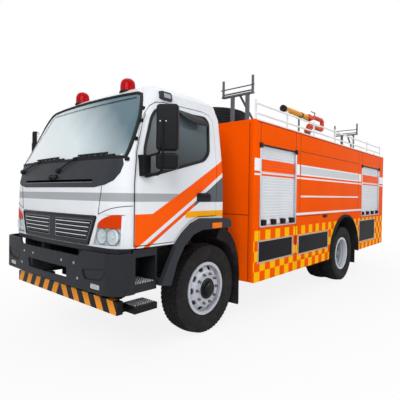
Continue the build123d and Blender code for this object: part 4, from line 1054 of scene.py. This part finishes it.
cowlSpan = (cowlEdge[0][0], cowlEdge[-1][0])
cowl = nosePatch(Shape(), lambda z: -cowlHalf(z), cowlHalf, *cowlSpan, *cowlLift, 40, 22)
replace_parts(cowl.place("cowlSkin", "cab", "charcoal_plastic", "charcoal", 0.003, 30), "cowl_panel")
# black strip of painted shade for the inside of the cowl's slot
cowlSlotShade = Shape()
nosePatch(cowlSlotShade, lambda z: slot["y"][0], lambda z: slot["y"][1], *slot["z"], *slot["lift"], 24, 1)
cowlSlotShade.place("cowlSlotShade", "cab", "charcoal_plastic", "gapBlack")
# lighter bead of painted highlight along the cowl slot's lower lip
lipLine = [(y, slotLip["z"]) for y in spaced(*slotLip["y"], 24)]
lip = bead(onNose, lipLine, slotLip["lift"], slotLip["radius"], 6, False)
lip.place("cowlLipHighlight", "cab", "charcoal_plastic", "edgeGrey")
wipers = [               # pivot, elbow, blade ends, as (y, z) on the nose
    ((0.046, 1.806), (0.348, 1.936), (0.270, 1.930), (0.903, 1.934)),
    ((-0.861, 1.819), (-0.412, 1.930), (-0.600, 1.922), (0.082, 1.930)),
]
wiperSize = {"arm": 0.0085, "blade": 0.013, "spine": 0.011, "rise": 0.022}
wiperLift = {"arm": (0.034, 0.030), "pivot": 0.004, "blade": 0.014, "spine": 0.030, "clip": (0.010, 0.034)}
pivotCap = [(0.0, 0.03), (0.03, 0.028), (0.042, 0.018)]
jetCap = [(0.0, 0.030), (0.018, 0.028), (0.030, 0.014)]
jets = {"y": (-0.085, 0.005), "z": 1.742, "lift": 0.006, "hose": 0.012}    # washer jets in the middle
jetHose = [(-0.120, 1.735, 0.016), (-0.040, 1.748, 0.022), (0.050, 1.742, 0.016)]
capWay = (1, 0, 0.25)
wiperSet = Shape()
for pivot, elbow, bladeStart, bladeEnd in wipers:
    lifts = spaced(*wiperLift["arm"], 6)
    arm = [onNose(y, z, lift) for (y, z), lift in zip(refined([pivot, elbow], 6), lifts)]
    wiperSet.tube(arm, wiperSize["arm"], 8)
    wiperSet.lathe(pivotCap, onNose(*pivot, wiperLift["pivot"]), capWay, 14)
    steps = refined([bladeStart, bladeEnd], 14)
    rise, (near, far) = wiperSize["rise"], wiperLift["clip"]
    wiperSet.tube([onNose(y, z, wiperLift["blade"]) for y, z in steps], wiperSize["blade"], 6)
    wiperSet.tube([onNose(y, z + rise, wiperLift["spine"]) for y, z in steps[2:-2]], wiperSize["spine"], 6)
    for y, z in steps[3:12:2]:             # clips that hold the blade
        wiperSet.tube([onNose(y, z, near), onNose(y, z + rise, far)], wiperSize["blade"], 6)
for y in jets["y"]:
    wiperSet.lathe(jetCap, onNose(y, jets["z"], jets["lift"]), capWay, 14)
wiperSet.tube([onNose(*point) for point in jetHose], jets["hose"], 8)
wiperSet.place("wipers", "cab", "charcoal_plastic", "blackTrim")
print("wipers done")


noseSeams = [            # (y, z) along the bonnet's and the corner panel's joints
    [(0.809, 1.651), (0.805, 1.587), (0.792, 1.524), (0.782, 1.451), (0.772, 1.393)],
    [(0.772, 1.393), (0.865, 1.427), (0.927, 1.447), (0.997, 1.464), (1.047, 1.472), (1.080, 1.476)],
]
seamLift, seamRadius = 0.0004, 0.0034
noseLines = Shape()
for line in noseSeams:
    noseLines.tube([onNose(y, z, seamLift) for y, z in refined(line, 6)], seamRadius, 6)
noseLines.mirrored().place("noseSeams", "cab", "charcoal_plastic", "blackTrim")

screenClip = {"z": [2.398, 2.273, 2.090, 1.895], "past": 0.012, "low": (-0.020, -0.016, -0.017),
              "high": (0.014, 0.022, 0.017)}
clips = Shape()
for z in screenClip["z"]:
    spot = onNose(screenSide(z) + screenClip["past"], z)
    clips.box(spot + Vector(screenClip["low"]), spot + Vector(screenClip["high"]))
clips.mirrored().place("screenClips", "cab", "charcoal_plastic", "blackTrim", 0.005)

markerLamp = {"x": (0.61, 0.78), "z": (2.515, 2.600), "proud": 0.030, "chamfer": 0.016, "end": 0.025,
              "sunk": -0.012}
markerGlass = {"x": (0.65, 0.74), "z": (2.537, 2.580), "thick": 0.006, "corner": 0.01, "sunk": 0.002}
low, high = markerLamp["z"]
xLow, xHigh = markerLamp["x"]
inset, end = markerLamp["chamfer"], markerLamp["end"]
rows = []
for x, cut in ((xLow, inset), (xLow + end, 0.0), (xHigh - end, 0.0), (xHigh, inset)):
    proud = markerLamp["proud"] - cut
    face = [onSide(x, low + cut, proud), onSide(x, high - cut, proud)]
    rows.append(face + [onSide(x, high, markerLamp["sunk"]), onSide(x, low, markerLamp["sunk"])])
Shape().grid(rows).mirrored().place("roofMarkers", "cab", "charcoal_plastic", "charcoal", 0.005)
(xLow, xHigh), (low, high) = markerGlass["x"], markerGlass["z"]
lensEdge = rounded([(xLow, low), (xHigh, low), (xHigh, high), (xLow, high)], markerGlass["corner"])
lensFace = [onSide(x, z, markerLamp["proud"] - markerGlass["sunk"]) for x, z in lensEdge]
markerLens = Shape().prism(lensFace, (0, markerGlass["thick"], 0))
markerLens.mirrored().place("markerLenses", "cab", "lamp_clear", "clearLens", 0.002)
trimBar("flareLamps", "cab", "lamp_clear", "markerAmber")

beacon = {"x": 0.742, "y": 0.446, "base": 2.668, "dome": 2.672}
baseLine = [(0.0, 0.092), (0.012, 0.091), (0.018, 0.086), (0.018, 0.070), (0.0, 0.070)]
domeLine = [
    (-0.004, 0.082), (0.050, 0.0825), (0.084, 0.081), (0.108, 0.076), (0.130, 0.064), (0.145, 0.046),
    (0.153, 0.024), (0.156, 0.0),
]
base = Shape().lathe(baseLine, at(beacon["x"], beacon["y"], beacon["base"]), (0, 0, 1), 32, True)
base.mirrored().place("beaconBases", "cab", "charcoal_plastic", "blackTrim")
dome = Shape().lathe(domeLine, at(beacon["x"], beacon["y"], beacon["dome"]), (0, 0, 1), 36)
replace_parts(dome.mirrored().place("beaconDomes", "cab", "lamp_red", "redLens"), "beacons")
doorEdge = [             # (x, z) of the gap in front of each door
    (1.1555, 1.104), (1.1555, 1.665), (1.1155, 1.958), (1.0135, 2.257), (0.962, 2.352),
]
gapSize = {"lift": -0.004, "radius": 0.0035}
doorGap = bead(onSide, refined(doorEdge, 6)[:-1], gapSize["lift"], gapSize["radius"], 6, False)
doorGap.mirrored().place("doorGaps", "cab", "charcoal_plastic", "gapBlack")
print("cab fittings done")


handleCup = [(0.105, 1.512), (0.330, 1.512), (0.330, 1.602), (0.150, 1.602), (0.105, 1.580)]
handleGrip = [           # x, z, lift along the pull
    (0.135, 1.578, 0.010), (0.150, 1.580, 0.026), (0.235, 1.582, 0.031), (0.300, 1.580, 0.026),
    (0.315, 1.578, 0.010),
]
handleSize = {"corner": 0.02, "lift": -0.004, "depth": 0.014, "grip": 0.012}
visor = {"top": ((0.600, 2.462), (0.175, 2.440)), "foot": ((0.560, 2.385), (0.135, 2.335)), "sag": 0.030,
         "sagCurve": 0.8, "lift": 0.002, "out": 0.085, "middle": 0.72, "thick": (0, 0.005, 0.002)}
mirror = {"mast": (0.985, 1.268), "turn": 35, "heads": [(1.975, 2.392), (1.808, 1.952)],
          "across": (-0.052, 0.122), "inset": 0.016, "corner": 0.025, "glass": (-0.0618, -0.0645)}
mirrorBolts = {"places": [(-0.026, 2.235), (0.026, 2.235)], "ahead": -0.005,
               "line": [(0.0, 0.007), (0.006, 0.007), (0.008, 0.004)]}


def onMirror(ahead, across, z):            # a point in a mirror head's own directions
    turn = math.radians(mirror["turn"])
    return at(mirror["mast"][0] + ahead * math.cos(turn) - across * math.sin(turn),
              mirror["mast"][1] + ahead * math.sin(turn) + across * math.cos(turn), z)


for side, sign in bothSides:
    body = f"door_{side.lower()}"
    cup = [onSide(x, z, handleSize["lift"]) for x, z in rounded(handleCup, handleSize["corner"])]
    handle = Shape().prism(cup, (0, handleSize["depth"], 0))
    handle.tube([onSide(*point) for point in handleGrip], handleSize["grip"], 10)
    handle.toSide(sign).place(f"doorHandle{side}", body, "charcoal_plastic", "blackTrim", 0.003)
    rows = []
    for share in spaced(0, 1, 12):         # rain visor over the window
        top = Vector(visor["top"][0]).lerp(Vector(visor["top"][1]), share)
        foot = Vector(visor["foot"][0]).lerp(Vector(visor["foot"][1]), share)
        foot.y -= visor["sag"] * math.sin(math.pi * share) ** visor["sagCurve"]
        lifts = (visor["lift"], visor["out"] * visor["middle"], visor["out"])
        line = [onSide(*point, lift) for point, lift in zip((top, top.lerp(foot, 0.5), foot), lifts)]
        rows.append(line + [point - Vector(visor["thick"]) for point in line[::-1]])
    shade = Shape().grid(rows).toSide(sign)
    shade.place(f"windowVisor{side}", body, "charcoal_plastic", "mirrorBlack", sharp=50)
    glass = Shape()
    bolts = Shape()
    (near, far), (front, back) = mirror["across"], mirror["glass"]
    for low, high in mirror["heads"]:
        low, high = low + mirror["inset"], high - mirror["inset"]
        edge = rounded([(near, low), (far, low), (far, high), (near, high)], mirror["corner"])
        depth = onMirror(back, 0, 2) - onMirror(front, 0, 2)
        glass.prism([onMirror(front, across, z) for across, z in edge], depth)
    way = onMirror(1, 0, 2) - onMirror(0, 0, 2)
    for across, z in mirrorBolts["places"]:
        bolts.lathe(mirrorBolts["line"], onMirror(mirrorBolts["ahead"], across, z), way, 8)
    glass.toSide(sign).place(f"mirrorGlass{side}", body, "sheet_metal", "mirrorGlass")
    bolts.toSide(sign).place(f"mirrorBolts{side}", body, "sheet_metal", "sheet")
print("door fittings done")


bumperBolts = [(0.521, 0.930), (0.585, 0.795), (0.300, 0.930)]
washerLine = [(-0.001, 0.014), (0.003, 0.014), (0.005, 0.009)]
boltLine = [(0.003, 0.007), (0.009, 0.007), (0.010, 0.005)]
bumperPanel = [(0.640, 0.892), (1.010, 0.930), (0.942, 0.826), (0.692, 0.800)]
panelRim = {"corner": 0.05, "pitch": 0.03, "lift": -0.002, "radius": 0.004}
fogLamp = {"y": (0.779, 0.911), "z": (0.732, 0.778), "back": -0.014, "edge": -0.004, "border": 0.014,
           "housing": (1.352, 1.3685)}
panelLine = divided(rounded(bumperPanel, panelRim["corner"]), panelRim["pitch"])
rim = bead(onBumper, panelLine, panelRim["lift"], panelRim["radius"])
rim.mirrored().place("bumperPanelRims", "chassis", "charcoal_plastic", "blackTrim")
heads = Shape()
for y, z in bumperBolts:
    heads.lathe(washerLine, onBumper(y, z), (1, 0, 0), 20)
    heads.lathe(boltLine, onBumper(y, z), (1, 0, 0), 6)
heads.mirrored().place("bumperBolts", "chassis", "sheet_metal", "sheet")
(yLow, yHigh), (low, high) = fogLamp["y"], fogLamp["z"]
back, edge = fogLamp["back"], fogLamp["edge"]
section = [(low, back), (low, edge), ((low + high) / 2, 0.0), (high, edge), (high, back)]
fogGlass = Shape().grid([[onBumper(y, z, lift) for z, lift in section] for y in spaced(yLow, yHigh, 8)])
fogGlass.mirrored().place("fogLenses", "chassis", "lamp_clear", "clearLens", 0.002)
(back, front), border = fogLamp["housing"], fogLamp["border"]
fogBack = Shape().box(at(back, yLow - border, low - border), at(front, yHigh + border, high + border))
fogBack.mirrored().place("fogHousings", "chassis", "charcoal_plastic", "blackTrim", 0.004)
radiator = {"x": (1.030, 1.050), "half": 0.345, "z": (0.640, 1.055), "fins": 22, "finX": (1.049, 1.056),
            "finHalf": 0.003, "inset": 0.02}
lug = {"x": (1.032, 1.048), "y": (0.340, 0.417), "z": (0.760, 0.800)}
shroud = {"x": (1.018, 1.030), "half": 0.600, "z": (0.905, 1.055)}
low, high = radiator["z"]
half = radiator["half"]
core = Shape().box(at(radiator["x"][0], -half, low), at(radiator["x"][1], half, high))
finHalf, finReach = radiator["finHalf"], half - radiator["inset"]
for number in range(radiator["fins"]):
    z = low + (high - low) * (number + 0.5) / radiator["fins"]
    core.box(at(radiator["finX"][0], -finReach, z - finHalf), at(radiator["finX"][1], finReach, z + finHalf))
for sign in (1, -1):
    inner, outer = sorted(sign * y for y in lug["y"])
    core.box(at(lug["x"][0], inner, lug["z"][0]), at(lug["x"][1], outer, lug["z"][1]))
(back, front), (low, high) = shroud["x"], shroud["z"]
core.box(at(back, -shroud["half"], low), at(front, shroud["half"], high))
core.place("radiatorCore", "chassis", "dark_panel", "darkPanel")
print("bumper fittings done")


stepTreads = [           # x span, y span, top of each tread plate
    ((0.890, 1.132), (0.838, 1.084), 0.765), ((0.866, 1.124), (0.876, 1.079), 0.560),
]
stepPitch, stepFirst = 0.030, 0.6          # the first tooth's place is a share of the pitch
plateSunk, plateProud, toothFoot = 0.001, 0.004, 0.003
toothLine = [(0.0, 0.011), (0.004, 0.0095), (0.006, 0.007), (0.003, 0.0045)]
plates = Shape()
teeth = Shape()
for (xLow, xHigh), (yLow, yHigh), top in stepTreads:
    plates.box(at(xLow, yLow, top - plateSunk), at(xHigh, yHigh, top + plateProud))
    for row in range(int((xHigh - xLow) / stepPitch)):
        for column in range(int((yHigh - yLow) / stepPitch)):
            x = xLow + stepPitch * (row + stepFirst)
            y = yLow + stepPitch * (column + stepFirst)
            teeth.lathe(toothLine, at(x, y, top + toothFoot), (0, 0, 1), 8)
plates.mirrored().place("stepPlates", "chassis", "floor_steel", "tread", 0.002)
teeth.mirrored().place("stepTeeth", "chassis", "floor_steel", "sheet")

barrel = {"x": -4.640, "z": 3.370, "muzzle": 1.0695, "band": 0.2945}   # x of the lift pivot, places ahead of it
muzzleLine = [(0.0, 0.0661), (0.0, 0.0675), (0.0712, 0.0675), (0.0712, 0.047), (0.069, 0.047), (0.069, 0.0661)]
boreLine = [(0.0640, 0.046), (0.0650, 0.046)]
bandLine = [(0.0, 0.0621), (0.0, 0.0640), (0.056, 0.0640), (0.056, 0.0621)]
lever = {"x": -5.05, "z": (3.478, 3.550), "bar": (-5.0755, -4.8595), "barZ": 3.541, "radius": 0.0098}
spot = at(barrel["x"] + barrel["muzzle"], 0, barrel["z"])
muzzle = Shape().lathe(muzzleLine, spot, (1, 0, 0), 40, True).lathe(boreLine, spot, (1, 0, 0), 40)
muzzle.place("muzzleRing", "monitor_barrel", "charcoal_plastic", "blackTrim")
spot = at(barrel["x"] + barrel["band"], 0, barrel["z"])
band = Shape().lathe(bandLine, spot, (1, 0, 0), 40, True)
band.place("barrelBand", "monitor_barrel", "charcoal_plastic", "blackTrim")
leverShape = Shape().tube([at(lever["x"], 0, z) for z in lever["z"]], lever["radius"], 10)
leverShape.tube([at(x, 0, lever["barZ"]) for x in lever["bar"]], lever["radius"], 10)
leverShape.place("monitorLever", "monitor_turret", "charcoal_plastic", "blackTrim")
print("monitor fittings done")


seatPlan = {             # x and z of each pad's middle, half sizes, roll: half sizes and y from the middle
    "y": 0.540, "lean": -0.165, "tilt": 0.06, "rollRise": 0.004, "rollAhead": 0.008,
    "cushion": ((0.345, 1.560), (0.225, 0.150, 0.070)), "cushionRoll": ((0.228, 0.056, 0.078), 0.195),
    "back": ((0.095, 1.880), (0.052, 0.140, 0.245)), "backRoll": ((0.062, 0.058, 0.240), 0.190),
    "head": ((0.030, 2.165), (0.040, 0.125, 0.050)),
}
seatFrame = {            # x, half width and z of each box; posts behind the back
    "boxes": [((0.150, 0.545), 0.215, (1.2525, 1.470)), ((0.140, 0.560), 0.235, (1.462, 1.500))],
    "post": [(0.105, 1.500), (0.060, 1.900)], "postY": 0.243, "postRadius": 0.014,
}
padForm = {"square": 0.42, "pull": 0.035, "levels": 20, "steps": 40}


def pad(shape, centre, half, lean=0.0):    # crowned closed pad, squarish in section
    def bent(value):
        return math.copysign(abs(value) ** padForm["square"], value)
    turn = Matrix.Rotation(lean, 3, "Y")
    rows = []
    for level in range(1, padForm["levels"]):
        tilt = -math.pi / 2 + math.pi * level / padForm["levels"]
        row = []
        for sweep in turns(padForm["steps"]):
            wide = bent(math.cos(tilt))
            x, y = wide * bent(math.cos(sweep)) * half[0], wide * bent(math.sin(sweep)) * half[1]
            draw = math.cos(y / half[1] * math.pi) + math.cos(x / half[0] * math.pi)
            pull = 1 - padForm["pull"] * draw
            row.append(Vector(centre) + turn @ Vector((x * pull, y * pull, bent(math.sin(tilt)) * half[2])))
        rows.append(row)
    return shape.grid(rows)


cushions = Shape()
frames = Shape()
for sign in (1, -1):
    y = sign * seatPlan["y"]
    (x, z), half = seatPlan["cushion"]
    pad(cushions, at(x, y, z), half, seatPlan["tilt"])
    half, edge = seatPlan["cushionRoll"]
    for away in (-edge, edge):
        pad(cushions, at(x, y + away, z + seatPlan["rollRise"]), half, seatPlan["tilt"])
    (x, z), half = seatPlan["back"]
    pad(cushions, at(x, y, z), half, seatPlan["lean"])
    half, edge = seatPlan["backRoll"]
    for away in (-edge, edge):
        pad(cushions, at(x + seatPlan["rollAhead"], y + away, z), half, seatPlan["lean"])
    (x, z), half = seatPlan["head"]
    pad(cushions, at(x, y, z), half, seatPlan["lean"])
    for (xLow, xHigh), reach, (low, high) in seatFrame["boxes"]:
        frames.box(at(xLow, y - reach, low), at(xHigh, y + reach, high))
    for away in (-seatFrame["postY"], seatFrame["postY"]):
        frames.tube([at(x, y + away, z) for x, z in seatFrame["post"]], seatFrame["postRadius"], 10)
seatPads = cushions.place("seatPads", "cab", "seat_cloth", "seatCloth", sharp=70)
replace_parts(seatPads, "seats")
frames.place("seatFrames", "cab", "charcoal_plastic", "blackTrim", 0.008)
print("seats done")


tailParts = [            # finish and slot of each lens, z span
    ("amberLens", "lamp_clear", (0.905, 0.992)), ("redLens", "lamp_red", (0.808, 0.897)),
    ("clearLens", "lamp_clear", (0.708, 0.800)),
]
tailLens = {"y": (1.018, 1.122), "face": -0.0195, "thick": 0.009, "corner": 0.014}
yLow, yHigh = tailLens["y"]
for number, (finish, slotName, (low, high)) in enumerate(tailParts):
    edge = rounded([(yLow, low), (yHigh, low), (yHigh, high), (yLow, high)], tailLens["corner"])
    face = [Vector((rearX + tailLens["face"], y, z)) for y, z in edge]
    lensShape = Shape().prism(face, (-tailLens["thick"], 0, 0))
    lensShape.mirrored().place(f"tailLens{number}", "chassis", slotName, finish, 0.003)
print("tail lamps done")


view = {"lens": 32.97, "sensor": 36, "shift": (-0.0103, -0.0019), "far": 200, "place": (5.677, 3.670, 1.5905),
        "angles": (40.484, -0.795, 0.846)}         # yaw, pitch and roll in degrees
camera = bpy.data.cameras.new("camera")
camera.lens = view["lens"]
camera.sensor_width = view["sensor"]
camera.sensor_fit = "HORIZONTAL"
camera.shift_x, camera.shift_y = view["shift"]
camera.clip_end = view["far"]
cameraObject = addObject("camera", camera)
yaw, pitch, roll = [math.radians(angle) for angle in view["angles"]]
ahead = Vector((-math.cos(yaw) * math.cos(pitch), -math.sin(yaw) * math.cos(pitch), math.sin(pitch)))
right = Vector((-math.sin(yaw), math.cos(yaw), 0))
upright = right.cross(ahead)
rolledRight = right * math.cos(roll) + upright * math.sin(roll)
rolledUp = upright * math.cos(roll) - right * math.sin(roll)
turn = Matrix((rolledRight, rolledUp, -ahead)).transposed().to_4x4()
cameraObject.matrix_world = Matrix.Translation(view["place"]) @ turn
bpy.context.scene.camera = cameraObject

ground = {"half": 60, "grey": 0.86, "whiteFrom": 3.2, "soft": 3.0, "stretch": 0.3, "show": (0.86, 1.0)}
half = ground["half"]
floorMesh = bpy.data.meshes.new("floor")
floorCorners = [(-half, -half, 0), (half, -half, 0), (half, half, 0), (-half, half, 0)]
floorMesh.from_pydata(floorCorners, [], [(0, 1, 2, 3)])
floor = addObject("floor", floorMesh)
floorFinish, place = newMaterial("floorFinish")
seen = place.make("ShaderNodeLightPath", {}, "Is Camera Ray", {})
speckle = place.noise(40.0)
matt = place.make("ShaderNodeBsdfPrincipled", {}, 0, {
    "Base Color": plainColour(place, rgb(*[ground["grey"]] * 3)), "Roughness": speckle.spread(0.75, 0.9),
})
glow = place.make("ShaderNodeEmission", {}, 0, {"Color": rgb(1, 1, 1), "Strength": 1.0})
x, y, z = place.axes()
away = (x * x * ground["stretch"] + y * y).root().over(ground["whiteFrom"], ground["soft"])
mixed = place.make("ShaderNodeMixShader", {}, 0, {0: seen * away.spread(*ground["show"]), 1: matt, 2: glow})
place.make("ShaderNodeOutputMaterial", {}, None, {"Surface": mixed})
floorMesh.materials.append(floorFinish)

world = bpy.data.worlds.new("studio")
world.use_nodes = True
world.node_tree.nodes.clear()
bpy.context.scene.world = world
start = Wire(world.node_tree)
path = start.make("ShaderNodeLightPath", {}, "Is Camera Ray", {}).socket.node
shownRays = ("Is Camera Ray", "Is Glossy Ray", "Is Transmission Ray")
shown = [Wire(world.node_tree, path.outputs[name]) for name in shownRays]
showing = shown[0].larger(shown[1]).larger(shown[2])
soft = start.make("ShaderNodeBackground", {}, 0, {"Color": rgb(0.95, 0.97, 1.0), "Strength": 0.45})
white = start.make("ShaderNodeBackground", {}, 0, {"Color": rgb(1, 1, 1), "Strength": 1.0})
blended = start.make("ShaderNodeMixShader", {}, 0, {0: showing, 1: soft, 2: white})
start.make("ShaderNodeOutputWorld", {}, None, {"Surface": blended})

lamps = [                # name, place, target, size, watts
    ("keyLamp", (10.5, 5.5, 7.5), (1.0, 0.5, 1.0), 6.0, 700),
    ("sideLamp", (-3.5, 12.0, 5.0), (-1.8, 0.0, 1.2), 7.0, 290),
    ("topLamp", (0.0, 0.0, 11.0), (0.0, 0.0, 0.0), 9.0, 260),
    ("backLamp", (-11.0, -7.0, 6.0), (0.0, 0.0, 1.0), 6.0, 420),
]
for name, spot, target, size, watts in lamps:
    lamp = bpy.data.lights.new(name, "AREA")
    lamp.size = size
    lamp.energy = watts
    look = Vector(target) - Vector(spot)
    turn = look.to_track_quat("-Z", "Y").to_matrix().to_4x4()
    addObject(name, lamp).matrix_world = Matrix.Translation(spot) @ turn
bpy.context.scene.view_settings.view_transform = "Standard"
print("camera, floor and lamps done")
